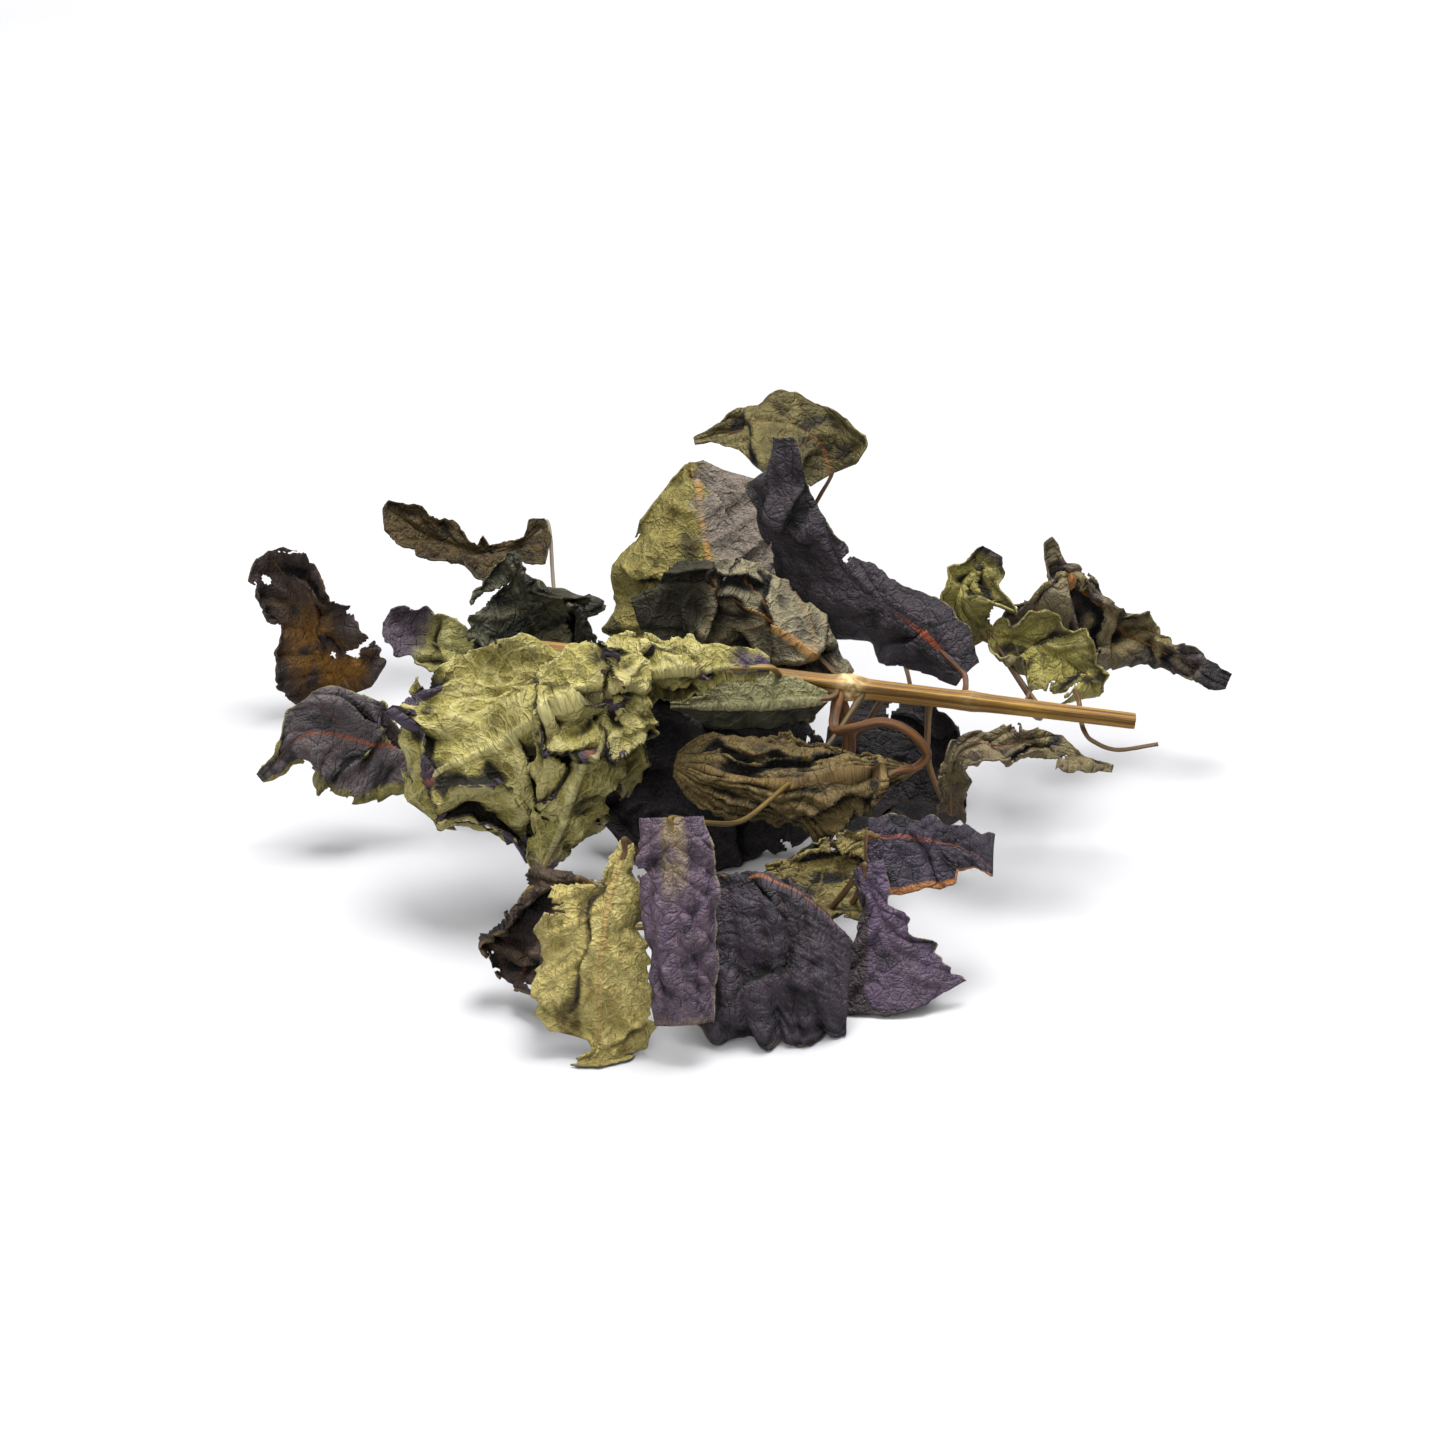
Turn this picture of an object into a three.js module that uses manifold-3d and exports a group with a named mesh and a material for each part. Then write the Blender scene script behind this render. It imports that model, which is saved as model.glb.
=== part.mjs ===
// A dried perilla sprig: a cut, four-edged stem with a thin side shoot, and the curled, crumpled leaves that
// hang on it by their stalks. Millimetres, +Z up, lying on the plane z = 0.
import * as THREE from "three";
import { mergeVertices } from "three/addons/utils/BufferGeometryUtils.js";
import Module from "manifold-3d";

const wasm = await Module();
wasm.setup();

// Driving dimensions
const STEM_WIDTH = 2.4;
const STEM_GROOVE = 0.28; // depth of the groove along each of the stem's four faces
const SHOOT_RADIUS = 0.75; // the side shoot
const STALK_RADIUS = 0.55; // a leaf's stalk
const STEM_EDGE = [[1, 0.55], [0.86, 0.86], [0.55, 1]]; // one rounded edge of its section, in half widths
const NODE_RADIUS = 1.65; // the swelling where leaves leave the stem
const NODE_STRETCH = 1.2; // along the stem
const BLADE_THICKNESS = 0.64;
const RIB_HEIGHT = 0.45; // how far the midrib stands out of a blade's underside
const JOINT_GAP = 0.3; // between a stalk and the stem that it sits on
const LEAST_HALF_WIDTH = 0.55; // of a blade at its base and tip
const ORIGIN = [2.3, -1.4]; // the middle of the sprig's footprint, in the frame of the points below

// Steps that a blade and a stalk are cut into
const ROWS = 14;
const COLUMNS = 3;
const STALK_SIDES = 5;
const STALK_STEP = 4;
const STALK_IN_BLADE = [0, 0.06, 0.14]; // shares of the rib that the stalk runs along inside the blade
const SHOOT_SIDES = 6;
const STEM_STEP = 6;
const NODE_SIDES = 8;
const NODE_RINGS = 5;
const WELD = 1e-4; // corners closer than this are one corner

// How a dried blade is shaped
const TOOTH = 0.9; // depth of the margin's teeth
const VEIN_PAIRS = 6;
const VEIN_SLANT = 0.22; // how far a side vein runs towards the tip, as a share of the rib
const RUFFLES = 3.5;
const GATHERS = 2.5; // lengthwise folds across each half blade
const CRUMPLE_WAVES = [19, 13, 9]; // lengths of the creases, the longest first
const CRUMPLE_SHARES = [0.5, 0.3, 0.2];
const CREASE = 0.93; // 1 is a knife-sharp crease
const FLOOR_BEND = 1; // the height over which a blade bends flat onto the surface that it lies on
const PLEAT_GROWTH = 4; // how fast the pillows rise from the midrib, per half width
const GATHER_GROWTH = 3; // and the gathers
const END_GROWTH = 6; // and all the unevenness from the blade's base and tip, per length
const TIP_UNEVENNESS = 0.3; // the share of the unevenness that is left at the very tip

const COLOURS = {
  stem: 0x9a7631,
  green: 0xa09a62,
  olive: 0xa89a5c,
  greyGreen: 0x75735a,
  purple: 0x5b4c63,
  dark: 0x3b353e,
  darkGreen: 0x39382a,
  brown: 0x5b4a2c,
  tan: 0x74674c,
};

// The stem's centre line from its upper end to its cut end, and the side shoot's from the stem to its tip
const STEM = [[-23, 2.2, 25.4], [-5, 1, 23.8], [14, 0, 21.7], [32, -1.2, 20], [49.6, -2, 18]];
const STEM_NODES = [0.2, 0.52, 0.72]; // shares of the stem's length
const SHOOT = [[14, 0, 21.6], [17.5, -2.5, 14], [13, -6, 4.5], [4, -14, 2.2], [0, -24, 2], [-1, -33, 2.8]];

// Each leaf: its stalk from the stem, its midrib from base to tip, where its upper side faces from base to
// tip, the exponents of its outline at base and tip, and its two half blades. Looking from base to tip
// with the upper side up, left is left. A half blade leaves the midrib at its fold angle and turns by its
// curl angle on the way to the margin, in degrees at base and tip, both positive to the upper side. Then
// the heights of its crumples, of its ruffled margin, of the pillows between its side veins, how torn its
// margin is, and the height of its lengthwise gathers.
const LEAVES = [
  {
    name: "leaf_green_large",
    colour: COLOURS.green,
    seed: 3,
    stalk: [[9, 0.3, 22.3], [9.4, 0.8, 26.6], [8.2, -2.6, 28.6]],
    rib: [
      [5.9, -6, 27.6], [-3, -8, 28.8], [-11.7, -10, 27.8], [-22.3, -12, 23.7], [-31.1, -14, 19.4],
      [-36.8, -13, 13.6],
    ],
    face: [[0, 1, -0.1], [0.2, 1, -0.1]],
    outline: [1.7, 0.5],
    left: { width: 12, fold: [8, 8], curl: [95, 80] },
    right: { width: 22, fold: [5, 5], curl: [15, 25] },
    crumple: 2.1, ruffle: 1.2, pleat: 0.3, ragged: 0.28, gather: 0,
  },
  {
    name: "leaf_green_strap",
    colour: COLOURS.green,
    seed: 8,
    stalk: [[0.4, -22, 2.05], [-10, -22, 1.6], [-20, -21.5, 1.4], [-23.5, -20.6, 3.6]],
    rib: [[-21.5, -20, 6.8], [-15.3, -19, 21.3], [-12.5, -15.5, 28.6], [-8.7, -11.5, 32]],
    face: [[0.1, 0.95, -0.1], [0.1, 0.9, -0.3]],
    outline: [0.7, 0.55],
    left: { width: 8, fold: [10, 10], curl: [40, 45] },
    right: { width: 10, fold: [4, 4], curl: [20, 15] },
    crumple: 1, ruffle: 0.5, pleat: 0.3, ragged: 0.16, gather: 0,
  },
  {
    name: "leaf_folded",
    colour: COLOURS.greyGreen,
    seed: 4,
    stalk: [[14, 0, 21.7], [13.8, -1.8, 21.6]],
    rib: [[12.9, -2.6, 21.5], [4.7, -4.6, 21.7], [-5.9, -5, 21.7]],
    face: [[0, 1, 0.1], [0, 1, 0.1]],
    outline: [0.5, 0.8],
    left: { width: 5.6, fold: [40, 40], curl: [8, 8] },
    right: { width: 6, fold: [22, 22], curl: [10, 10] },
    crumple: 0.25, ruffle: 0.2, pleat: 0.2, ragged: 0.08, gather: 0,
  },
  {
    name: "leaf_brown_pleated",
    colour: COLOURS.brown,
    seed: 12,
    stalk: [
      [14.4, -0.1, 21.6], [13.6, -4.5, 18.5], [15.6, -6.8, 19.8], [19.2, -7.4, 21], [22.4, -8, 20],
      [24.6, -8.4, 17.2],
    ],
    rib: [[23.1, -8.5, 15.3], [15.3, -12.5, 17.1], [7, -14.5, 17.3], [-2.4, -12, 17.4]],
    face: [[0, -0.8, 0.6], [0, -0.8, 0.6]],
    outline: [0.5, 0.6],
    left: { width: 13, fold: [-20, -20], curl: [-25, -25] },
    right: { width: 7, fold: [-30, -30], curl: [-30, -30] },
    crumple: 0.5, ruffle: 0.4, pleat: 0, ragged: 0.2, gather: 0.7,
  },
  {
    name: "leaf_olive_front",
    colour: COLOURS.olive,
    seed: 5,
    stalk: [[-1, -33, 2.8], [-5.5, -33.5, 12]],
    rib: [[-10.4, -37, 22.5], [-12.4, -41, 16.6], [-13.5, -45.5, 8.8], [-13.6, -49.4, -3]],
    face: [[0, 0.9, -0.4], [0, 0.8, -0.6]],
    outline: [0.45, 0.4],
    left: { width: 9.5, fold: [0, 0], curl: [25, 20] },
    right: { width: 6.2, fold: [15, 10], curl: [30, 20] },
    crumple: 0.7, ruffle: 0.6, pleat: 0.2, ragged: 0.22, gather: 0,
  },
  {
    name: "leaf_purple_strip",
    colour: COLOURS.purple,
    seed: 6,
    stalk: [
      [17.4, -0.3, 21.4], [15.5, -5, 23], [11, -10.5, 23.4], [7.4, -17, 21], [2.4, -26, 19.6],
      [-2.4, -33.5, 23],
    ],
    rib: [[-5.4, -38, 26.3], [-5.1, -42.5, 18.2], [-3.9, -48, 5]],
    face: [[0, -0.86, 0.5], [0, -0.86, 0.5]],
    outline: [0.2, 0.12],
    left: { width: 5.4, fold: [-8, -8], curl: [-30, -25] },
    right: { width: 5.4, fold: [-8, -8], curl: [-30, -25] },
    crumple: 0.4, ruffle: 0.3, pleat: 0.2, ragged: 0.1, gather: 0.35,
  },
  {
    name: "leaf_purple_ribbed",
    colour: COLOURS.dark,
    seed: 7,
    stalk: [[-0.5, -27.5, 2.2], [-2, -30.5, 9], [-1, -34.5, 16.5]],
    rib: [[1.6, -36, 18.4], [8, -36.9, 17.4], [15, -37.8, 18]],
    face: [[0, -0.1, 1], [0, -0.1, 1]],
    outline: [0.25, 0.4],
    left: { width: 7, fold: [-60, -60], curl: [-10, -10] },
    right: { width: 21, fold: [-50, -50], curl: [-10, -10] },
    crumple: 0.5, ruffle: 0.7, pleat: 0.6, ragged: 0.06, gather: 0,
  },
  {
    name: "leaf_purple_toothed",
    colour: COLOURS.purple,
    seed: 9,
    stalk: [[-0.2, -25.6, 2.1], [8, -28, 3], [16, -28, 9]],
    rib: [[20, -30.8, 11.8], [21.5, -34.2, 7.2], [23.5, -38.6, 1]],
    face: [[-0.2, -0.6, 0.75], [0, -0.6, 0.8]],
    outline: [0.8, 0.3],
    left: { width: 7, fold: [0, 0], curl: [-12, -12] },
    right: { width: 10, fold: [-5, -5], curl: [-12, -12] },
    crumple: 0.5, ruffle: 0.5, pleat: 0.3, ragged: 0.12, gather: 0,
  },
  {
    name: "leaf_purple_flag",
    colour: COLOURS.purple,
    seed: 10,
    stalk: [[0.2, -23.2, 2.1], [8, -24.6, 4.5], [14, -26, 11]],
    rib: [[17, -27.2, 16], [24.7, -27.6, 16.6], [32.8, -28.6, 18]],
    face: [[0, -0.8, 0.6], [0, -0.8, 0.6]],
    outline: [0.2, 0.6],
    left: { width: 4.6, fold: [-10, -10], curl: [-30, -30] },
    right: { width: 4.8, fold: [-5, -5], curl: [12, 12] },
    crumple: 0.3, ruffle: 0.4, pleat: 0.3, ragged: 0.15, gather: 0,
  },
  {
    name: "leaf_dark_left",
    colour: COLOURS.dark,
    seed: 11,
    stalk: [[-18.6, 1.9, 25], [-24.5, 0.4, 17.5]],
    rib: [[-33.9, 2, 10.3], [-41.1, 2, 11.7], [-49.3, 0.5, 14.6], [-55.5, -1, 9.5]],
    face: [[0, -0.6, 0.8], [0, -0.6, 0.8]],
    outline: [0.35, 0.6],
    left: { width: 9.5, fold: [-15, -15], curl: [-50, -50] },
    right: { width: 7, fold: [15, 15], curl: [35, 30] },
    crumple: 0.6, ruffle: 0.5, pleat: 0.2, ragged: 0.2, gather: 0,
  },
  {
    name: "leaf_dark_green",
    colour: COLOURS.darkGreen,
    seed: 14,
    stalk: [[-15.5, 1.7, 24.8], [-14.5, 2.6, 16], [-15.5, 3.6, 6]],
    rib: [[-19, 7, 0.5], [-21.6, 10.5, 13], [-23.7, 13.5, 24.4], [-25.2, 15, 32]],
    face: [[0, -0.95, 0.3], [0, -0.95, 0.3]],
    outline: [0.6, 0.28],
    left: { width: 9, fold: [8, 8], curl: [45, 35] },
    right: { width: 11.5, fold: [8, 8], curl: [20, 35] },
    crumple: 1.6, ruffle: 0.8, pleat: 0.3, ragged: 0.3, gather: 0,
  },
  {
    name: "leaf_grey_back",
    colour: COLOURS.greyGreen,
    seed: 15,
    stalk: [[10, 0.2, 22.1], [11, 3.5, 15], [7, 10.5, 13.5]],
    rib: [[0.6, 15, 21.7], [-1.8, 22, 29.1], [-3.7, 30, 36.4]],
    face: [[0.1, 0.7, -0.7], [0.1, 0.7, -0.7]],
    outline: [0.5, 0.4],
    left: { width: 11, fold: [8, 8], curl: [20, 15] },
    right: { width: 12.5, fold: [8, 8], curl: [25, 15] },
    crumple: 0.9, ruffle: 0.8, pleat: 0.35, ragged: 0.15, gather: 0,
  },
  {
    name: "leaf_grey_fold",
    colour: COLOURS.greyGreen,
    seed: 16,
    stalk: [[17, -0.2, 21.4], [16.8, 3, 19.6]],
    rib: [[15.1, 6.5, 18.4], [6, 9.5, 25.5], [-3.6, 10.5, 29.7], [-10.7, 11.5, 26.9]],
    face: [[0, 0.9, -0.4], [0, 0.9, -0.4]],
    outline: [0.5, 0.6],
    left: { width: 7, fold: [5, 5], curl: [70, 80] },
    right: { width: 12, fold: [5, 5], curl: [12, 12] },
    crumple: 0.9, ruffle: 0.6, pleat: 0.3, ragged: 0.18, gather: 0,
  },
  {
    name: "leaf_dark_tall",
    colour: COLOURS.dark,
    seed: 17,
    stalk: [[28.4, -0.9, 20.3], [29.4, 2, 19.6]],
    rib: [[29.5, 5, 20.4], [23.6, 10, 24.5], [15.7, 14, 28.5], [9.7, 17, 35], [7.6, 19.5, 45]],
    face: [[-0.2, -0.9, 0.35], [-0.5, -0.8, 0.2]],
    outline: [0.35, 0.75],
    left: { width: 9.5, fold: [-8, -8], curl: [-25, -25] },
    right: { width: 4.6, fold: [-8, -8], curl: [-35, -25] },
    crumple: 0.7, ruffle: 0.5, pleat: 0.4, ragged: 0.12, gather: 0,
  },
  {
    name: "leaf_dark_low",
    colour: COLOURS.dark,
    seed: 18,
    stalk: [[20, -0.4, 21.1], [16.4, 2.6, 13], [11.4, 4.4, 6]],
    rib: [[12.4, 6, 1.6], [20.8, 8, -0.4], [30, 6.5, -0.8]],
    face: [[0, -0.2, 1], [0, -0.2, 1]],
    outline: [0.5, 0.6],
    left: { width: 9.5, fold: [-4, -4], curl: [-8, -8] },
    right: { width: 9.5, fold: [-4, -4], curl: [-8, -8] },
    crumple: 1.2, ruffle: 0.8, pleat: 0.3, ragged: 0.25, gather: 0,
  },
  {
    name: "leaf_dark_under",
    colour: COLOURS.dark,
    seed: 19,
    stalk: [[6, 0.5, 22.6], [8.4, 1.6, 14]],
    rib: [[6.1, 1, 6.6], [-3.6, -1, 9.2], [-15.7, 0, 7.2]],
    face: [[0, -0.9, 0.4], [0, -0.9, 0.4]],
    outline: [0.5, 0.6],
    left: { width: 12, fold: [-5, -5], curl: [15, 15] },
    right: { width: 8, fold: [5, 5], curl: [15, 15] },
    crumple: 1, ruffle: 0.6, pleat: 0.3, ragged: 0.2, gather: 0,
  },
  {
    name: "leaf_brown_twisted",
    colour: COLOURS.tan,
    seed: 20,
    stalk: [[25, -0.7, 20.7], [25, -3.4, 13]],
    rib: [[27.6, -6, 7.7], [28.8, -6.5, 15.8], [34.4, -7.5, 17.9], [40.3, -8.5, 17.5], [46.5, -9, 15.6]],
    face: [[-0.3, -0.9, 0.1], [0, -0.5, 0.85], [0, -0.9, 0.4]],
    outline: [0.3, 0.5],
    left: { width: 4.5, fold: [10, 10], curl: [60, 40] },
    right: { width: 4.2, fold: [10, 10], curl: [50, 60] },
    crumple: 0.5, ruffle: 0.6, pleat: 0.2, ragged: 0.25, gather: 0,
  },
  {
    name: "leaf_green_rolled",
    colour: COLOURS.darkGreen,
    seed: 21,
    stalk: [[12.4, -6.6, 4.2], [18.5, -11, 4.6], [21, -16.5, 9.5]],
    rib: [[18.3, -20.5, 12.4], [12, -22, 10.2], [5.4, -23, 9.8]],
    face: [[0, -0.3, 0.95], [0, -0.3, 0.95]],
    outline: [0.4, 0.7],
    left: { width: 7, fold: [20, 20], curl: [90, 80] },
    right: { width: 6.5, fold: [20, 20], curl: [80, 80] },
    crumple: 0.3, ruffle: 0.4, pleat: 0.3, ragged: 0.15, gather: 0,
  },
  {
    name: "leaf_brown_curled",
    colour: COLOURS.brown,
    seed: 22,
    stalk: [[-0.8, -30.4, 2.5], [-8, -30, 7]],
    rib: [[-17.3, -33, 14.9], [-21.2, -34.5, 9.1], [-25.3, -36, 2.6]],
    face: [[-0.3, -0.6, 0.6], [-0.5, -0.6, 0.6]],
    outline: [0.4, 0.4],
    left: { width: 6, fold: [10, 10], curl: [50, 60] },
    right: { width: 7, fold: [10, 10], curl: [40, 60] },
    crumple: 0.9, ruffle: 0.6, pleat: 0.3, ragged: 0.25, gather: 0,
  },
  {
    name: "leaf_olive_back",
    colour: COLOURS.olive,
    seed: 23,
    stalk: [[21.6, -0.5, 21], [19.4, 9, 14], [16, 25, 17], [12.2, 33, 23]],
    rib: [[14, 37, 31.2], [11.9, 38.5, 35.4], [5.7, 39, 36.9], [-3.2, 38, 35.2]],
    face: [[0, -0.5, 0.85], [0, -0.5, 0.85]],
    outline: [0.35, 0.8],
    left: { width: 5.5, fold: [10, 10], curl: [25, 20] },
    right: { width: 6, fold: [15, 10], curl: [30, 20] },
    crumple: 0.6, ruffle: 0.6, pleat: 0.3, ragged: 0.2, gather: 0,
  },
  {
    name: "leaf_green_upright",
    colour: COLOURS.green,
    seed: 24,
    stalk: [[33, -1.3, 19.9], [33.4, 5, 16.5]],
    rib: [[32.3, 13, 20.8], [29.6, 15, 25.2], [32.8, 17, 31.1]],
    face: [[-0.2, -0.9, 0.2], [-0.2, -0.9, 0.2]],
    outline: [0.4, 0.6],
    left: { width: 4.5, fold: [10, 10], curl: [60, 50] },
    right: { width: 4.5, fold: [10, 10], curl: [60, 50] },
    crumple: 0.3, ruffle: 0.4, pleat: 0.2, ragged: 0.15, gather: 0,
  },
  {
    name: "leaf_grey_right",
    colour: COLOURS.greyGreen,
    seed: 25,
    stalk: [[36, -1.4, 19.6], [34.5, 8, 12]],
    rib: [[34.5, 18, 16.6], [43.2, 22, 21.4], [53.4, 22, 15], [63, 19, 11.5]],
    face: [[0, -0.6, 0.8], [0, -0.6, 0.8]],
    outline: [0.45, 0.75],
    left: { width: 8, fold: [15, 15], curl: [40, 30] },
    right: { width: 8, fold: [-10, -10], curl: [-40, -30] },
    crumple: 1, ruffle: 0.8, pleat: 0.3, ragged: 0.25, gather: 0,
  },
  {
    name: "leaf_green_cupped",
    colour: COLOURS.tan,
    seed: 26,
    stalk: [[39, -1.5, 19.2], [38, 5, 17]],
    rib: [[36.7, 11.5, 20.4], [42.2, 11, 17.2], [49, 10.5, 12.8]],
    face: [[0, -0.8, 0.6], [0, -0.8, 0.6]],
    outline: [0.4, 0.7],
    left: { width: 6, fold: [15, 15], curl: [50, 50] },
    right: { width: 6.5, fold: [15, 15], curl: [50, 50] },
    crumple: 0.5, ruffle: 0.6, pleat: 0.3, ragged: 0.2, gather: 0,
  },
  {
    name: "leaf_dark_corner",
    colour: COLOURS.dark,
    seed: 27,
    stalk: [[-22.2, 2.2, 25.3], [-27, 5, 17], [-37, 20, 5]],
    rib: [[-46.8, 33, 1.8], [-51.3, 34, 10.6], [-56.9, 35, 21.2]],
    face: [[0, -0.95, 0.2], [0, -0.95, 0.2]],
    outline: [0.5, 0.5],
    left: { width: 6.5, fold: [5, 5], curl: [40, 40] },
    right: { width: 7, fold: [5, 5], curl: [30, 40] },
    crumple: 0.9, ruffle: 0.6, pleat: 0.3, ragged: 0.2, gather: 0,
  },
  {
    name: "leaf_green_small",
    colour: COLOURS.olive,
    seed: 28,
    stalk: [[-11.6, 1.4, 24.4], [-11.8, 9, 18], [-17, 18.5, 14]],
    rib: [[-30.2, 19, 14.6], [-35.8, 20, 16.6], [-41.1, 21, 19.7]],
    face: [[0, -0.8, 0.5], [0, -0.8, 0.5]],
    outline: [0.4, 0.8],
    left: { width: 5, fold: [5, 5], curl: [30, 30] },
    right: { width: 4, fold: [5, 5], curl: [30, 30] },
    crumple: 0.4, ruffle: 0.4, pleat: 0.2, ragged: 0.15, gather: 0,
  },
  {
    name: "leaf_brown_far",
    colour: COLOURS.brown,
    seed: 29,
    stalk: [[-9, 1.3, 24.2], [-9.5, 9, 14], [-13, 20, 9.5], [-20, 33, 10.5]],
    rib: [[-21.8, 44, 19.9], [-29.2, 44, 16.1], [-37, 45, 17.8], [-42.7, 45, 22.7]],
    face: [[0, -0.7, 0.7], [0, -0.7, 0.7]],
    outline: [0.4, 0.6],
    left: { width: 4.5, fold: [10, 10], curl: [40, 40] },
    right: { width: 4.5, fold: [10, 10], curl: [40, 40] },
    crumple: 0.5, ruffle: 0.6, pleat: 0.2, ragged: 0.25, gather: 0,
  },
];

const vector = (p) => new THREE.Vector3(...p);
const curveThrough = (points) => new THREE.CatmullRomCurve3(points.map(vector), false, "catmullrom", 0.5);
const mix = (a, b, t) => a + (b - a) * t;
const radians = THREE.MathUtils.degToRad;

// Seeded random numbers from 0 to 1, the first few skipped because near seeds start alike
const SEED_SPREAD = 7919;
const FACTOR = 16807;
const STEP = 11;
const MODULUS = 2147483647;
const SKIPPED = 5;

function randomFrom(seed) {
  let state = seed * SEED_SPREAD;
  const draw = () => {
    state = (state * FACTOR + STEP) % MODULUS;
    return state / MODULUS;
  };
  for (let i = 0; i < SKIPPED; i++) draw();
  return draw;
}

// A triangle wave of period 1 from -1 to 1, its corners a little rounded
function creases(x) {
  return Math.asin(CREASE * Math.sin(2 * Math.PI * x)) / Math.asin(CREASE);
}

// The half width of a blade at a share u of its length, 1 at the widest: small exponents make a blunt end,
// large ones a drawn-out end
function outlineAt([base, tip], u) {
  const raw = (x) => x ** base * (1 - x) ** tip;
  return raw(u) / raw(base / (base + tip));
}

// Each leaf's own random choices: its creases, its ruffles' phases and its toothed, torn margins
function habitOf(leaf) {
  const random = randomFrom(leaf.seed);
  const waves = CRUMPLE_WAVES.map((length, i) => {
    const heading = Math.PI * random();
    const [along, across] = [Math.cos(heading), Math.sin(heading)];
    return { length, share: CRUMPLE_SHARES[i], along, across, phase: random() };
  });
  const phases = { left: random(), right: random() };
  const margin = ({ width }) =>
    Array.from({ length: ROWS + 1 }, (_, i) => 1 - (TOOTH / width) * (i % 2) - leaf.ragged * random());
  return { waves, phases, margins: { left: margin(leaf.left), right: margin(leaf.right) } };
}

// The margin's share of the half width at u, straight between the rows
function marginAt(shares, u) {
  const row = Math.min(Math.floor(u * ROWS), ROWS - 1);
  return mix(shares[row], shares[row + 1], u * ROWS - row);
}

// A height kept half a blade's thickness above the floor, with a soft bend where it begins to lie flat
function aboveFloor(z) {
  const low = BLADE_THICKNESS / 2;
  const over = z - low;
  if (over > FLOOR_BEND) return z;
  return low + Math.max(over + FLOOR_BEND, 0) ** 2 / (4 * FLOOR_BEND);
}

// A function that gives the middle surface of a leaf's blade: u runs from base to tip, v from -1 at the right
// margin to 1 at the left
function bladeSurface(leaf) {
  const rib = curveThrough(leaf.rib);
  const face = curveThrough(leaf.face);
  const ribLength = rib.getLength();
  const habit = habitOf(leaf);
  return (u, v) => {
    const side = v < 0 ? "right" : "left";
    const half = leaf[side];
    const reach = Math.abs(v);
    const forward = rib.getTangent(u);
    const up = face.getPoint(u);
    up.addScaledVector(forward, -up.dot(forward)).normalize();
    const outward = up.clone().cross(forward).multiplyScalar(v < 0 ? -1 : 1);

    const grown = half.width * outlineAt(leaf.outline, u) * marginAt(habit.margins[side], u);
    const width = Math.max(grown, LEAST_HALF_WIDTH);
    const fold = radians(mix(half.fold[0], half.fold[1], u));
    const curl = radians(mix(half.curl[0], half.curl[1], u));
    const angle = fold + curl * reach;
    const out = (Math.sin(angle) - Math.sin(fold)) / curl;
    const rise = (Math.cos(fold) - Math.cos(angle)) / curl;
    const normal = up.clone().multiplyScalar(Math.cos(angle)).addScaledVector(outward, -Math.sin(angle));

    const along = u * ribLength;
    const across = v * half.width;
    const crumple = habit.waves.reduce((sum, w) =>
      sum + w.share * creases((along * w.along + across * w.across) / w.length + w.phase), 0);
    const ruffle = reach ** 2 * Math.sin(2 * Math.PI * (RUFFLES * u + habit.phases[side]));
    const between = Math.abs(Math.sin(Math.PI * (VEIN_PAIRS * (u - VEIN_SLANT * reach))));
    const pleat = between * Math.min(1, PLEAT_GROWTH * reach);
    const gather = creases(GATHERS * reach + habit.phases[side]) * Math.min(1, GATHER_GROWTH * reach);
    const lift = leaf.crumple * crumple + leaf.ruffle * ruffle + leaf.pleat * pleat + leaf.gather * gather;
    const ends = Math.min(1, END_GROWTH * u, END_GROWTH * (1 - u) + TIP_UNEVENNESS);

    const point = rib.getPoint(u);
    point.addScaledVector(outward, width * out).addScaledVector(up, width * rise);
    point.addScaledVector(normal, lift * ends);
    point.z = aboveFloor(point.z);
    return point;
  };
}

// A closed blade: the middle surface's grid, moved half the thickness to each side, with the midrib's ridge
// below
function bladeGeometry(leaf) {
  const surface = bladeSurface(leaf);
  const wide = 2 * COLUMNS + 1;
  const grid = [];
  for (let i = 0; i <= ROWS; i++)
    for (let j = -COLUMNS; j <= COLUMNS; j++) grid.push(surface(i / ROWS, j / COLUMNS));
  const at = (i, j) => grid[i * wide + j];
  const positions = [];
  const put = (side) => {
    for (let i = 0; i <= ROWS; i++)
      for (let j = 0; j < wide; j++) {
        const along = at(Math.min(i + 1, ROWS), j).clone().sub(at(Math.max(i - 1, 0), j));
        const across = at(i, Math.min(j + 1, wide - 1)).clone().sub(at(i, Math.max(j - 1, 0)));
        const normal = along.cross(across).normalize();
        const ridge = side < 0 && j === COLUMNS ? RIB_HEIGHT * (1 - i / ROWS) : 0;
        const moved = at(i, j).clone().addScaledVector(normal, side * (BLADE_THICKNESS / 2 + ridge));
        positions.push(moved.x, moved.y, Math.max(moved.z, 0));
      }
  };
  put(1);
  put(-1);

  const index = [];
  const under = (ROWS + 1) * wide;
  const quad = (a, b, c, d) => index.push(a, b, c, a, c, d);
  for (let i = 0; i < ROWS; i++)
    for (let j = 0; j < wide - 1; j++) {
      const [a, b, c, d] = [i * wide + j, (i + 1) * wide + j, (i + 1) * wide + j + 1, i * wide + j + 1];
      quad(a, b, c, d);
      index.push(under + a, under + c, under + b, under + a, under + d, under + c);
    }
  const wall = (a, b) => quad(a, b, under + b, under + a);
  for (let i = 0; i < ROWS; i++) {
    wall((i + 1) * wide, i * wide);
    wall(i * wide + wide - 1, (i + 1) * wide + wide - 1);
  }
  for (let j = 0; j < wide - 1; j++) {
    wall(j, j + 1);
    wall(ROWS * wide + j + 1, ROWS * wide + j);
  }
  const geometry = new THREE.BufferGeometry();
  geometry.setAttribute("position", new THREE.Float32BufferAttribute(positions, 3));
  geometry.setIndex(index);
  return geometry;
}

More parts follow.
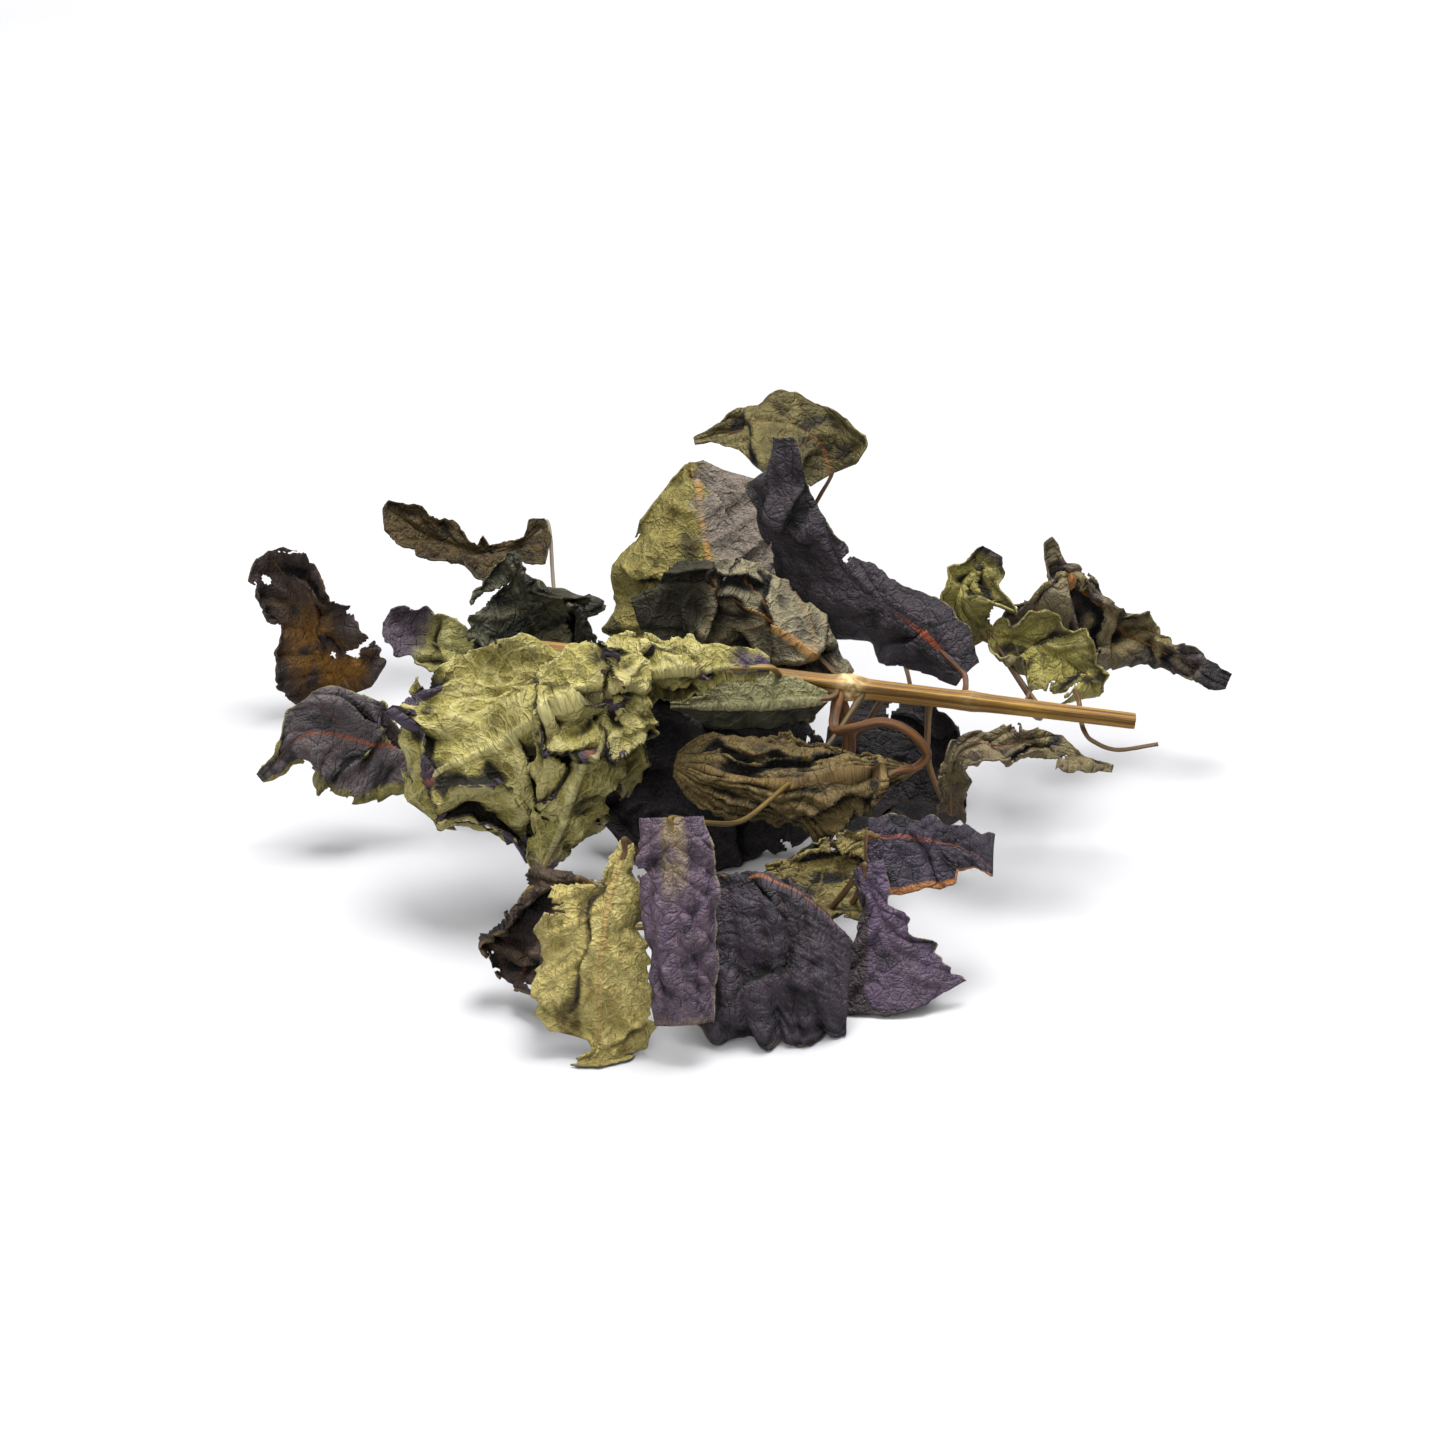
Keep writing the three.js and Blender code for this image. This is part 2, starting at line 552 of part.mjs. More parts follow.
// A round or shaped rod along a curve
function rodGeometry(section, points, step) {
  const path = curveThrough(points);
  const steps = Math.max(3, Math.round(path.getLength() / step));
  return new THREE.ExtrudeGeometry(section, { steps, extrudePath: path, bevelEnabled: false });
}

function circle(radius, sides) {
  const corners = Array.from({ length: sides }, (_, i) => {
    const angle = (2 * Math.PI * i) / sides;
    return new THREE.Vector2(radius * Math.cos(angle), radius * Math.sin(angle));
  });
  return new THREE.Shape(corners);
}

// The stem's section: a square with rounded edges and a groove along each face, grown by margin
function stemSection(margin) {
  const half = STEM_WIDTH / 2 + margin;
  const quarter = STEM_EDGE.map(([x, y]) => new THREE.Vector2(x * half, y * half));
  quarter.push(new THREE.Vector2(0, half - STEM_GROOVE));
  const middle = new THREE.Vector2();
  const turns = [0, 1, 2, 3].map((i) => (i * Math.PI) / 2);
  return new THREE.Shape(turns.flatMap((turn) => quarter.map((p) => p.clone().rotateAround(middle, turn))));
}

function solidOf(geometry) {
  const bare = geometry.clone();
  bare.deleteAttribute("normal");
  bare.deleteAttribute("uv");
  const merged = mergeVertices(bare, WELD);
  const vertProperties = merged.attributes.position.array;
  const triVerts = new Uint32Array(merged.index.array);
  return new wasm.Manifold(new wasm.Mesh({ numProp: 3, vertProperties, triVerts }));
}

// The largest body of a solid, as a mesh's geometry
function geometryOf(solid) {
  const whole = solid.decompose().sort((a, b) => b.volume() - a.volume())[0];
  const mesh = whole.getMesh();
  const geometry = new THREE.BufferGeometry();
  geometry.setAttribute("position", new THREE.BufferAttribute(mesh.vertProperties, 3));
  geometry.setIndex(new THREE.BufferAttribute(mesh.triVerts, 1));
  geometry.computeVertexNormals();
  return geometry;
}

function piece(name, solid, colour) {
  const material = new THREE.MeshStandardMaterial({ color: colour, roughness: 0.85, metalness: 0 });
  const mesh = new THREE.Mesh(geometryOf(solid), material);
  mesh.name = name;
  return mesh;
}

// The stem with its side shoot and the swellings at its nodes, grown by margin
function stemSolid(margin) {
  let solid = solidOf(rodGeometry(stemSection(margin), STEM, STEM_STEP));
  solid = solid.add(solidOf(rodGeometry(circle(SHOOT_RADIUS + margin, SHOOT_SIDES), SHOOT, STALK_STEP)));
  const line = curveThrough(STEM);
  for (const share of STEM_NODES) {
    const swelling = new THREE.SphereGeometry(NODE_RADIUS + margin, NODE_SIDES, NODE_RINGS);
    swelling.scale(NODE_STRETCH, 1, 1).translate(...line.getPoint(share).toArray());
    solid = solid.add(solidOf(swelling));
  }
  return solid;
}

function leafSolid(leaf) {
  const surface = bladeSurface(leaf);
  const inBlade = STALK_IN_BLADE.map((u) => surface(u, 0).toArray());
  const stalk = rodGeometry(circle(STALK_RADIUS, STALK_SIDES), [...leaf.stalk, ...inBlade], STALK_STEP);
  return solidOf(bladeGeometry(leaf)).add(solidOf(stalk));
}

const sprig = new THREE.Group();
sprig.name = "perilla_sprig";
sprig.position.set(-ORIGIN[0], -ORIGIN[1], 0);
sprig.add(piece("stem", stemSolid(0), COLOURS.stem));
const seat = stemSolid(JOINT_GAP);
for (const leaf of LEAVES) sprig.add(piece(leaf.name, leafSolid(leaf).subtract(seat), leaf.colour));

const part = new THREE.Group();
part.add(sprig);
export default part;
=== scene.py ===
"""A dried perilla sprig lying on a pale floor: its stem, its side shoot and its curled, crumpled leaves,
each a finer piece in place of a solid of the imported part. The shapes below are in millimetres."""
import math
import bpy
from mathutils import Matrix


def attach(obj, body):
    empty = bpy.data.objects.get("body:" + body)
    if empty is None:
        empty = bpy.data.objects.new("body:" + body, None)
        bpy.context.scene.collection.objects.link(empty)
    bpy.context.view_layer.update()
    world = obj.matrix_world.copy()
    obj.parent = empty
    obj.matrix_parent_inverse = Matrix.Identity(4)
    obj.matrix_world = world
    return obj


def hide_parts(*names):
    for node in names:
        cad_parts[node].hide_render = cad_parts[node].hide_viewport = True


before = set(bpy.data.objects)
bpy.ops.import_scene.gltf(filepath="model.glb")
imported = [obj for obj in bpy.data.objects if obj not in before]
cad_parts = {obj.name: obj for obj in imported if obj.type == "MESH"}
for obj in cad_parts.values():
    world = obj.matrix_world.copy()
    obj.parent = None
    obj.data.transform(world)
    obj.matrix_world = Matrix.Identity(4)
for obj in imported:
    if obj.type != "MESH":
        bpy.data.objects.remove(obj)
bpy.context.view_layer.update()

from types import SimpleNamespace

import bpy
import numpy as np
from mathutils import Vector

MM = 0.001
ORIGIN = np.array([2.3, -1.4, 0.0])  # the middle of the sprig's footprint, in the frame of the points below
TURN = 2 * math.pi

# Sizes that the solids share
STEM_WIDTH = 2.4
STEM_GROOVE = 0.28
SHOOT_RADIUS = 0.75
STALK_RADIUS = 0.55
NODE_RADIUS = 1.65
LEAST_HALF_WIDTH = 0.55
BLADE_THICKNESS = 0.64
FLOOR_BEND = 1.0
CAD_ROWS = 14
TOOTH = 0.9
VEIN_PAIRS = 6
VEIN_SLANT = 0.22
RUFFLES = 3.5
GATHERS = 2.5
CRUMPLES = ((19, 0.5), (13, 0.3), (9, 0.2))  # lengths of the waves and their shares
CREASE = 0.93

# Sizes of the finer pieces
FINE_THICKNESS = 0.26
GRID_STEP = 0.26  # between the corners of a blade's grid
BLADE_CLEARANCE = 0.02  # the least height of a blade above the floor
ROD_CLEARANCE = 0.03  # and that of a stalk
TOOTH_SPACING = 2.3
FINE_CREASES = ((8.5, 1.2), (4.4, 0.75), (2.2, 0.36), (1.1, 0.14))  # sizes and heights
WARP = 2.2  # how far the creases wander
WARP_SIZE = 7
ROOM_FOR_FOLDS = 10.0  # the width of a blade that takes folds of full height
FOLD_MARGIN = 2.4  # the width along a margin over which folds grow lower
MARGIN_FOLD = 0.12  # and the share of their height that is left at the margin
FOLD_ENDS = 3  # the length at a blade's base and tip over which they grow lower
OVERHANG = 0.7  # how far a fold hangs over, for its height
WHOLE_MIDDLE = 1.2  # how far from the midrib no tear goes
TORN_WIDTH = 2.5  # the least half width that tears
VEIN_HEIGHT = 0.09
STALK_SIDES = 10
STALK_STEP = 0.5
RIDGES = 3  # of a stalk, lengthwise
RIDGE_HEIGHT = 0.1  # as a share of its radius
LUMP_HEIGHT = 0.12
LUMP_LENGTH = 1.4
SPUR_RADIUS = 0.3
SHOOT_SIDES = 12
SHOOT_SEED = 91
SHOOT_KNOTS = (0.35, 0.62, 0.78, 0.9)  # shares of its length
KNOT_LENGTH = 0.014
KNOT_HEIGHT = 0.3
STEM_SIDES = 72
STEM_STEP = 0.45
SQUARENESS = 5  # the power that makes the stem's section square
GROOVE_WIDTH = 0.24
STEM_FIBRES = ((0.35, 0.05), (0.8, 0.045))  # sizes and heights
NODE_LENGTH = 1.5
CUT_END = 0.96  # the share of its width that the stem has at its cut end
PITH = ((1.0, 0), (0.82, -0.04), (0.6, 0.03), (0.35, 0.2), (0.12, 0.26))  # an end's rings: radius and depth
TONE = 0.62  # how much darker the dried plant is than the colours named for it
RICHNESS = 1.3  # and how much stronger its colours are

# Where the parts of a piece lie on its texture map, which runs from 0 to 1
MAP_EDGE = 0.005
SIDE_MAP = (0.485, 0.9)  # the width and length of each side of a blade
UNDERSIDE_MAP = 0.51
RIM_MAP = (0.93, 0.95)
RIM_LENGTH = 0.985
BAND_MAP = (0.01, 0.97)  # the start and length of a rod
STALK_MAP = (0.965, 0.998)
SPUR_MAP = (0.953, 0.964)
SHOOT_MAP = (0.86, 0.93)
STEM_MAP = (0.02, 0.62)
LID_MAP = 0.995
LID_SIZE = 0.006
STEM_END_MAPS = ((0.02, 0.66), (0.3, 0.66))
STEM_END_SIZE = 0.18

STEM = [(-23, 2.2, 25.4), (-5, 1, 23.8), (14, 0, 21.7), (32, -1.2, 20), (49.6, -2, 18)]
STEM_NODES = ((0.2, 0.3, 0.15), (0.52, 0.9, 1.0), (0.72, 0.3, 0.15))  # share along it, swelling, paleness
SHOOT = [(14, 0, 21.6), (15.5, -1.8, 14), (13, -6, 4.5), (4, -14, 2.2), (0, -24, 2), (-1, -33, 2.8)]


# The table of leaves

LEAVES = []
USUAL = dict(
    left_edge=[], right_edge=[], lips=[], holes=[], notches=[], spur=[], crinkle=1.0, rolls=1.0, teeth=0.8,
    tears=5, tear_depth=4.0, folds=3, fold_height=1.2, fibre=0.0, droop=(0, 2), rib_width=1.0, shows=1,
    stalk_look="stalk_brown", stalk_size=0.7)


def leaf(name, look, slot, seed, **more):
    """Adds a leaf to the table, with the usual values for what isn't said.

    stalk, rib and spur are points along a stalk, the midrib and a spur, and face is the way that the blade
    faces, from base to tip. left and right are a half blade's (width, fold at base and tip, curl at base
    and tip), with folds and curls in degrees, and uneven is (crumple, ruffle, pleat, gather), all as the
    solids have them. An edge is a side's half widths at shares of the midrib; a leaf without edges has
    outline and ragged instead. lips are overlapping folds (along, across, heading in degrees, height,
    length, reach) from the blade's base, holes are (along, across, radius) and notches (along, side, depth,
    half opening, slant). droop is how far a blade's tip hangs and how late along it, and shows is -1 where
    the underside shows."""
    LEAVES.append(dict(USUAL, name=name, look=look, slot=slot, seed=seed, **more))


leaf("leaf_green_large", "green", "leaf_green", 3,
     stalk=[(7.5, 0.4, 22.4), (6.8, -2.6, 25)],
     rib=[(5.9, -6, 27.6), (-3, -8, 28.8), (-11.7, -10, 27.8), (-22.3, -12, 23.7), (-31.1, -14, 19.4),
          (-36.8, -13, 13.6)],
     face=[(0, 1, -0.1), (0.2, 1, -0.1)], left=(12, 8, 8, 95, 80), right=(22, 5, 5, 15, 25),
     uneven=(2.1, 1.2, 0.3, 0), crinkle=1.7, rolls=1.9, tears=8, tear_depth=5, stalk_look="stalk_tan",
     shows=-1, folds=14, fold_height=2.3,
     holes=[(27, 2, 1.1), (35, -11, 0.9)],
     lips=[(20, -4, 85, -3.4, 9, 6), (27, 1, 20, -2.8, 6, 4), (36, -6, 120, -2.8, 6, 4),
           (31, -14, 150, -2.4, 7, 5), (14, 2, 30, -2.2, 7, 4), (42, -9, 70, -2.6, 6, 4),
           (22.6, -11.3, 270, -2.4, 4, 3), (37.4, -4.4, 85, -2.2, 3, 3), (31.7, -7.4, 216, -2.6, 7, 4),
           (43, -11, 200, -2.4, 4, 3), (44, -3, 300, -2.6, 5, 3), (40, 6, 330, -2.2, 5, 3),
           (25.3, 2.5, 313, -2.6, 5, 4)],
     notches=[(41, -1, 8, 2.0, 0.4), (45, -1, 7, 1.8, 0.1), (35.5, -1, 6, 1.5, 0.5), (46, 1, 5, 1.6, 0),
              (42, 1, 5, 1.3, -0.3), (38, 1, 4, 1.0, 0.3)],
     left_edge=[(0, 1.5), (0.1, 4.5), (0.2, 6), (0.4, 8), (0.6, 11), (0.8, 11.5), (0.92, 8), (1, 3)],
     right_edge=[(0, 1), (0.1, 2.5), (0.2, 3.5), (0.3, 5.5), (0.4, 12), (0.5, 15.5), (0.6, 20.5), (0.7, 20),
                 (0.8, 17), (0.9, 13), (1, 5)])
leaf("leaf_green_strap", "green", "leaf_green", 8,
     stalk=[(0.4, -22, 2.05), (-10, -22, 1.6), (-20, -21.5, 1.4), (-23.5, -20.6, 3.6)],
     rib=[(-21.5, -20, 6.8), (-15.3, -19, 21.3), (-12.5, -15.5, 28.6), (-8.7, -11.5, 32)],
     face=[(0.1, 0.95, -0.1), (0.1, 0.9, -0.3)], left=(8, 10, 10, 40, 45), right=(10, 4, 4, 20, 15),
     uneven=(1, 0.5, 0.3, 0), outline=(0.7, 0.55), ragged=0.16, crinkle=1.3, rolls=1.5,
     stalk_look="stalk_tan", shows=-1, folds=9, fold_height=2.0,
     lips=[(20, 1, 60, -2.2, 8, 4), (12, -4, 110, -2, 6, 4), (27, -2, 130, -2, 6, 3.5)])
leaf("leaf_folded", "folded", "leaf_grey", 4,
     stalk=[(14, 0, 21.7), (13.8, -1.8, 21.6)],
     rib=[(12.9, -2.6, 21.5), (4.7, -4.6, 21.7), (-5.9, -5, 21.7)],
     face=[(0, 1, 0.1)], left=(5.6, 40, 40, 8, 8), right=(6, 22, 22, 10, 10), uneven=(0.2, 0.1, 0.05, 0),
     crinkle=0.16, rolls=0.15, tears=0, teeth=0.0, folds=0, rib_width=2.2,
     left_edge=[(0, 0.8), (0.1, 1.8), (0.2, 2.8), (0.4, 3.8), (0.6, 4), (0.75, 3), (0.85, 1.2), (1, 0.5)],
     right_edge=[(0, 1), (0.06, 4), (0.2, 5.8), (0.4, 6.5), (0.6, 6.4), (0.8, 5.4), (0.9, 2), (1, 0.5)])
leaf("leaf_brown_pleated", "pleated", "leaf_brown", 12,
     stalk=[(14.4, -0.1, 21.6), (13.6, -4.5, 18.5), (15.6, -6.8, 19.8), (19.2, -7.4, 21), (22.4, -8, 20),
            (24.6, -8.4, 17.2)],
     rib=[(23.1, -8.5, 15.3), (15.3, -12.5, 17.1), (7, -14.5, 17.3), (-5.4, -11.5, 17.5)],
     face=[(0, -0.8, 0.6)], left=(13, -20, -20, -25, -25), right=(7, -30, -30, -30, -30),
     uneven=(0.5, 0.4, 0, 0.3), crinkle=0.9, tears=1, fibre=0.36, stalk_look="stalk_red", fold_height=1.3,
     stalk_size=1.1,
     lips=[(12, 1.5, 4, 1.4, 8, 2), (15, -2.5, 2, 1.3, 9, 2), (9, 4, 20, 1.3, 5, 2),
           (21, -3.5, 356, 1.3, 6, 2), (20, 3, 5, 1.3, 7, 2), (14, 6, 30, 1.4, 5, 2)],
     left_edge=[(0, 0.6), (0.1, 2), (0.2, 3.4), (0.35, 7), (0.45, 10.5), (0.52, 9.5), (0.58, 6.5), (0.8, 6),
                (0.93, 4.5), (1, 1.5)],
     right_edge=[(0, 0.6), (0.1, 1.3), (0.2, 2), (0.4, 4), (0.6, 7.5), (0.8, 7.5), (0.93, 6), (1, 2)])
leaf("leaf_olive_front", "olive", "leaf_olive", 5,
     stalk=[(-1, -33, 2.8), (-5.5, -33.5, 12)],
     rib=[(-10.4, -37, 22.5), (-12.4, -41, 16.6), (-13.5, -45.5, 8.8), (-13.6, -49.4, -3)],
     face=[(0, 0.9, -0.4), (0, 0.8, -0.6)], left=(9.5, 0, 0, 25, 20), right=(6.2, 15, 10, 30, 20),
     uneven=(0.7, 0.6, 0.2, 0), crinkle=0.8, rolls=0.7, teeth=1.1, tears=4, shows=-1, folds=1,
     fold_height=0.8,
     lips=[(12, 1.5, 8, -0.6, 9, 2.5)],
     left_edge=[(0, 1), (0.1, 1.7), (0.23, 1.5), (0.27, 6.6), (0.5, 8.1), (0.68, 7.7), (0.78, 7),
                (0.82, 5.4), (0.845, 1.2), (0.875, 0.8), (0.9, 2.6), (1, 3.2)],
     right_edge=[(0, 0.8), (0.1, 1.9), (0.3, 4), (0.5, 5.5), (0.7, 6.2), (0.82, 6.5), (0.93, 5.5), (1, 4.8)])
leaf("leaf_purple_strip", "purple_tan", "leaf_purple", 6,
     stalk=[(17.4, -0.3, 21.4), (14, -5.5, 18.5), (10, -11, 16.2), (7.4, -17, 17.6), (2.4, -26, 18.6),
            (-2.4, -33.5, 23)],
     rib=[(-5.4, -38, 26.3), (-5.1, -42.5, 18.2), (-3.9, -48, 5)],
     face=[(0, -0.86, 0.5)], left=(5.4, -8, -8, -30, -25), right=(5.4, -8, -8, -30, -25),
     uneven=(0.4, 0.3, 0.2, 0.2), rolls=0.25, tears=1, teeth=0.1, stalk_look="stalk_olive", folds=2,
     fold_height=0.5, stalk_size=0.62,
     left_edge=[(0, 3.8), (0.2, 4.7), (0.4, 5.1), (0.6, 4.9), (0.8, 4.5), (1, 3.3)],
     right_edge=[(0, 4), (0.2, 4.3), (0.4, 4.4), (0.6, 4.1), (0.8, 3.5), (1, 3.7)])
leaf("leaf_purple_ribbed", "ribbed", "leaf_dark", 7,
     stalk=[(-0.5, -27.5, 2.2), (-2, -30.5, 9), (-3.6, -33.6, 15)],
     rib=[(-3, -35.4, 17.6), (7, -36.8, 18), (15, -37.8, 18)],
     face=[(0, -0.1, 1)], left=(7, -60, -60, -10, -10), right=(21, -50, -50, -10, -10),
     uneven=(0.7, 0.6, 0.5, 0), crinkle=0.9, rolls=0.7, folds=5, fold_height=1.1, fibre=0.12,
     droop=(8.5, 2.2), rib_width=0.3,
     left_edge=[(0, 6), (0.5, 7), (0.8, 5), (1, 0.6)],
     right_edge=[(0, 17), (0.15, 20), (0.3, 20.6), (0.45, 20.5), (0.52, 17.5), (0.62, 19), (0.75, 17.5),
                 (0.85, 15.5), (0.95, 14), (1, 13)])
leaf("leaf_purple_toothed", "folded_purple", "leaf_purple", 9,
     stalk=[(-0.2, -25.6, 2.1), (8, -28, 3), (13.6, -28, 9)],
     rib=[(16.4, -30, 15), (18.6, -33, 9), (22.4, -38.6, 1)],
     face=[(-0.2, -0.6, 0.75), (0, -0.6, 0.8)], left=(7, 0, 0, -12, -12), right=(10, -5, -5, -12, -12),
     uneven=(0.4, 0.25, 0.3, 0), crinkle=0.45, rolls=0.35, tears=1, teeth=0.6, folds=1, fold_height=0.6,
     left_edge=[(0, 2.6), (0.2, 2.2), (0.3, 1.5), (0.4, 1.5), (0.53, 3.3), (0.56, 2.7), (0.65, 3.4),
                (0.73, 5.2), (0.76, 4.5), (0.8, 4.9), (0.87, 6), (0.89, 5.4), (0.955, 7.2), (0.975, 4),
                (1, 2)],
     right_edge=[(0, 1.2), (0.2, 1.6), (0.36, 1.6), (0.45, 2.4), (0.6, 4.4), (0.7, 6.4), (0.8, 8.9),
                 (0.9, 9), (0.95, 6), (1, 4)])
leaf("leaf_purple_flag", "purple_edged", "leaf_purple", 10,
     stalk=[(0.2, -23.2, 2.1), (8, -25, 3.5), (14.6, -27.4, 7.5), (16.8, -28, 13)],
     rib=[(17, -27.2, 17.3), (24.7, -27.6, 17.2), (31.4, -28.6, 18)],
     face=[(0, -0.8, 0.6)], left=(4.6, -10, -10, -30, -30), right=(4.8, -5, -5, 12, 12),
     uneven=(0.3, 0.4, 0.3, 0), crinkle=0.4, rolls=0.4, tears=0, fold_height=0.8, teeth=0.2, droop=(4.6, 4),
     rib_width=1.3,
     left_edge=[(0, 2.4), (0.2, 3), (0.4, 2.6), (0.6, 2.5), (0.8, 2.5), (0.9, 3.7), (1, 5)],
     right_edge=[(0, 8.6), (0.06, 8.2), (0.1, 7), (0.3, 6.4), (0.5, 5.6), (0.67, 4.8), (0.69, 3),
                 (0.85, 1.4), (1, 0.6)])
leaf("leaf_dark_left", "dark_grey", "leaf_dark", 11,
     stalk=[(-18.6, 1.9, 25), (-24.5, 0.4, 17.5)],
     rib=[(-33.9, 2, 10.3), (-41.1, 2, 11.7), (-49.3, 0.5, 14.6), (-55.5, -1, 9.5)],
     face=[(0, -0.6, 0.8)], left=(9.5, -15, -15, -50, -50), right=(7, 15, 15, 35, 30),
     uneven=(0.6, 0.5, 0.2, 0), crinkle=0.7, rolls=1.6, tears=4, folds=2, fold_height=1.4,
     holes=[(19, 3, 0.8)],
     lips=[(10, 5.2, 0, 1.3, 9, 2), (11, -2.5, 158, 1.5, 9, 2.5)],
     left_edge=[(0, 2), (0.2, 5.5), (0.4, 8), (0.6, 7.6), (0.72, 6.5), (0.8, 3), (1, 0.6)],
     right_edge=[(0, 3), (0.2, 4), (0.4, 5.8), (0.6, 5.5), (0.8, 2.2), (1, 0.5)])
leaf("leaf_dark_green", "dark_green", "leaf_dark_green", 14,
     stalk=[(-15.5, 1.7, 24.8), (-14.5, 2.6, 16), (-15.5, 3.6, 6)],
     rib=[(-19, 7, 0.5), (-21.6, 10.5, 13), (-23.7, 13.5, 24.4), (-25.2, 15, 32)],
     face=[(0, -0.95, 0.3)], left=(9, 8, 8, 45, 35), right=(11.5, 8, 8, 20, 35), uneven=(1.6, 0.8, 0.3, 0),
     crinkle=2.2, rolls=2.4, teeth=1.9, tears=13, tear_depth=7, folds=11, fold_height=2.2,
     lips=[(18, 3, 60, -1.5, 7, 3), (24, -3, 120, -1.5, 7, 3)],
     left_edge=[(0, 6), (0.3, 10), (0.45, 10.5), (0.6, 8.2), (0.8, 6.4), (0.9, 3), (1, 1)],
     right_edge=[(0, 6), (0.3, 9), (0.5, 9.5), (0.6, 9), (0.69, 13.5), (0.75, 8), (0.8, 4.5), (0.9, 2.6),
                 (1, 1)])
leaf("leaf_grey_back", "olive_and_grey", "leaf_grey", 15,
     stalk=[(10, 0.2, 22.1), (11, 3.5, 15), (7, 10.5, 13.5)],
     rib=[(0.6, 15, 21.7), (-1.8, 22, 29.1), (-3.7, 30, 36.4)],
     face=[(0.1, 0.7, -0.7)], left=(11, 8, 8, 20, 15), right=(12.5, 8, 8, 25, 15),
     uneven=(0.9, 0.8, 0.35, 0), crinkle=0.8, rolls=0.9, tears=1, teeth=0.25, shows=-1, folds=4,
     fold_height=1.3,
     left_edge=[(0, 6), (0.2, 10), (0.4, 11.5), (0.6, 12), (0.8, 11), (0.9, 7), (1, 2)],
     right_edge=[(0, 12), (0.2, 15.6), (0.4, 14.2), (0.6, 11.4), (0.8, 6.1), (0.95, 2.2), (1, 0.6)])
leaf("leaf_grey_fold", "grey", "leaf_grey", 16,
     stalk=[(17, -0.2, 21.4), (16.8, 3, 19.6)],
     rib=[(15.1, 6.5, 18.4), (6, 9.5, 25.5), (-3.6, 10.5, 29.7), (-10.7, 11.5, 26.9)],
     face=[(0, 0.9, -0.4)], left=(7, 5, 5, 70, 80), right=(12, 5, 5, 12, 12), uneven=(0.9, 0.6, 0.3, 0),
     crinkle=1.2, rolls=1.5, tears=4, rib_width=0.6, shows=-1, folds=6, fold_height=1.7,
     lips=[(20, -3, 80, -2.2, 7, 4)],
     left_edge=[(0, 3), (0.2, 6.2), (0.4, 6.3), (0.6, 4.5), (0.8, 2.4), (1, 0.6)],
     right_edge=[(0, 3), (0.2, 8), (0.4, 11), (0.6, 11), (0.8, 10), (1, 4)])
leaf("leaf_dark_tall", "dark", "leaf_dark", 17,
     stalk=[(28.4, -0.9, 20.3), (29.4, 2, 19.6)],
     rib=[(29.5, 5, 20.4), (23.6, 10, 24.5), (15.7, 14, 28.5), (9.7, 17, 35), (7.6, 19.5, 45)],
     face=[(-0.2, -0.9, 0.35), (-0.5, -0.8, 0.2)], left=(9.5, -8, -8, -25, -25),
     right=(4.6, -8, -8, -35, -25), uneven=(0.7, 0.5, 0.4, 0), crinkle=0.4, rolls=0.9, tears=2, teeth=0.3,
     folds=4, fold_height=0.9, stalk_look="stalk_red",
     left_edge=[(0, 2), (0.08, 3.5), (0.2, 5.5), (0.3, 7.5), (0.4, 8.6), (0.6, 9.5), (0.8, 5.5), (0.86, 7.3),
                (0.9, 3.6), (1, 2)],
     right_edge=[(0, 2.5), (0.1, 4), (0.2, 4.5), (0.4, 3.2), (0.6, 2.9), (0.8, 2.7), (1, 1.2)])
# leaf_dark_low and leaf_dark_under lie inside the heap; their near-black colours are partly painted shade
# that fills its shaded middle
leaf("leaf_dark_low", "deep_dark", "leaf_dark", 18,
     stalk=[(20, -0.4, 21.1), (16.4, 2.6, 13), (11.4, 4.4, 6)],
     rib=[(12.4, 6, 1.6), (20.8, 8, -0.4), (30, 6.5, -0.8)],
     face=[(0, -0.2, 1)], left=(19, 8, 8, 80, 80), right=(9.5, -4, -4, -8, -8), uneven=(1.2, 0.8, 0.3, 0),
     crinkle=0.7, rolls=1.2, tears=6,
     left_edge=[(0, 4), (0.06, 10), (0.15, 13), (0.3, 14.5), (0.5, 15), (0.65, 16.5), (0.8, 16), (0.9, 12),
                (0.97, 7), (1, 2)],
     right_edge=[(0, 1.5), (0.1, 5), (0.3, 8), (0.5, 9), (0.8, 7), (0.95, 3), (1, 1)])
leaf("leaf_dark_under", "deep_dark", "leaf_dark", 19,
     stalk=[(6, 0.5, 22.6), (11, 2, 14)],
     rib=[(14, -1, 6.6), (-2, -1.5, 9.2), (-15.7, 0, 7.2)],
     face=[(0, -0.9, 0.4)], left=(12, -5, -5, 15, 15), right=(12, 5, 5, 15, 15), uneven=(1, 0.6, 0.3, 0),
     crinkle=1.5, rolls=1.4, tears=8, folds=6, fold_height=1.7,
     left_edge=[(0, 2), (0.08, 5), (0.2, 8), (0.4, 12.5), (0.6, 13), (0.8, 11), (0.93, 6), (1, 2)],
     right_edge=[(0, 2), (0.08, 7), (0.2, 10), (0.5, 14), (0.8, 14), (0.93, 9), (1, 3)])
leaf("leaf_brown_twisted", "tan", "leaf_brown", 20,
     stalk=[(25, -0.7, 20.7), (25, -3.4, 13)],
     rib=[(27.6, -6, 7.7), (28.8, -6.5, 15.8), (34.4, -7.5, 17.9), (40.3, -8.5, 17.5), (46.5, -9, 15.6)],
     face=[(-0.3, -0.9, 0.1), (0, -0.5, 0.85), (0, -0.9, 0.4)], left=(4.5, 10, 10, 60, 40),
     right=(4.2, 10, 10, 50, 60), uneven=(0.5, 0.6, 0.2, 0), crinkle=1.1, rolls=1.2, tears=8,
     left_edge=[(0, 2.5), (0.2, 2.5), (0.4, 2), (0.55, 2.6), (0.7, 2), (0.85, 1.4), (1, 0.6)],
     right_edge=[(0, 3), (0.2, 3.5), (0.4, 5), (0.6, 5), (0.8, 3.5), (0.92, 1.5), (1, 0.6)])
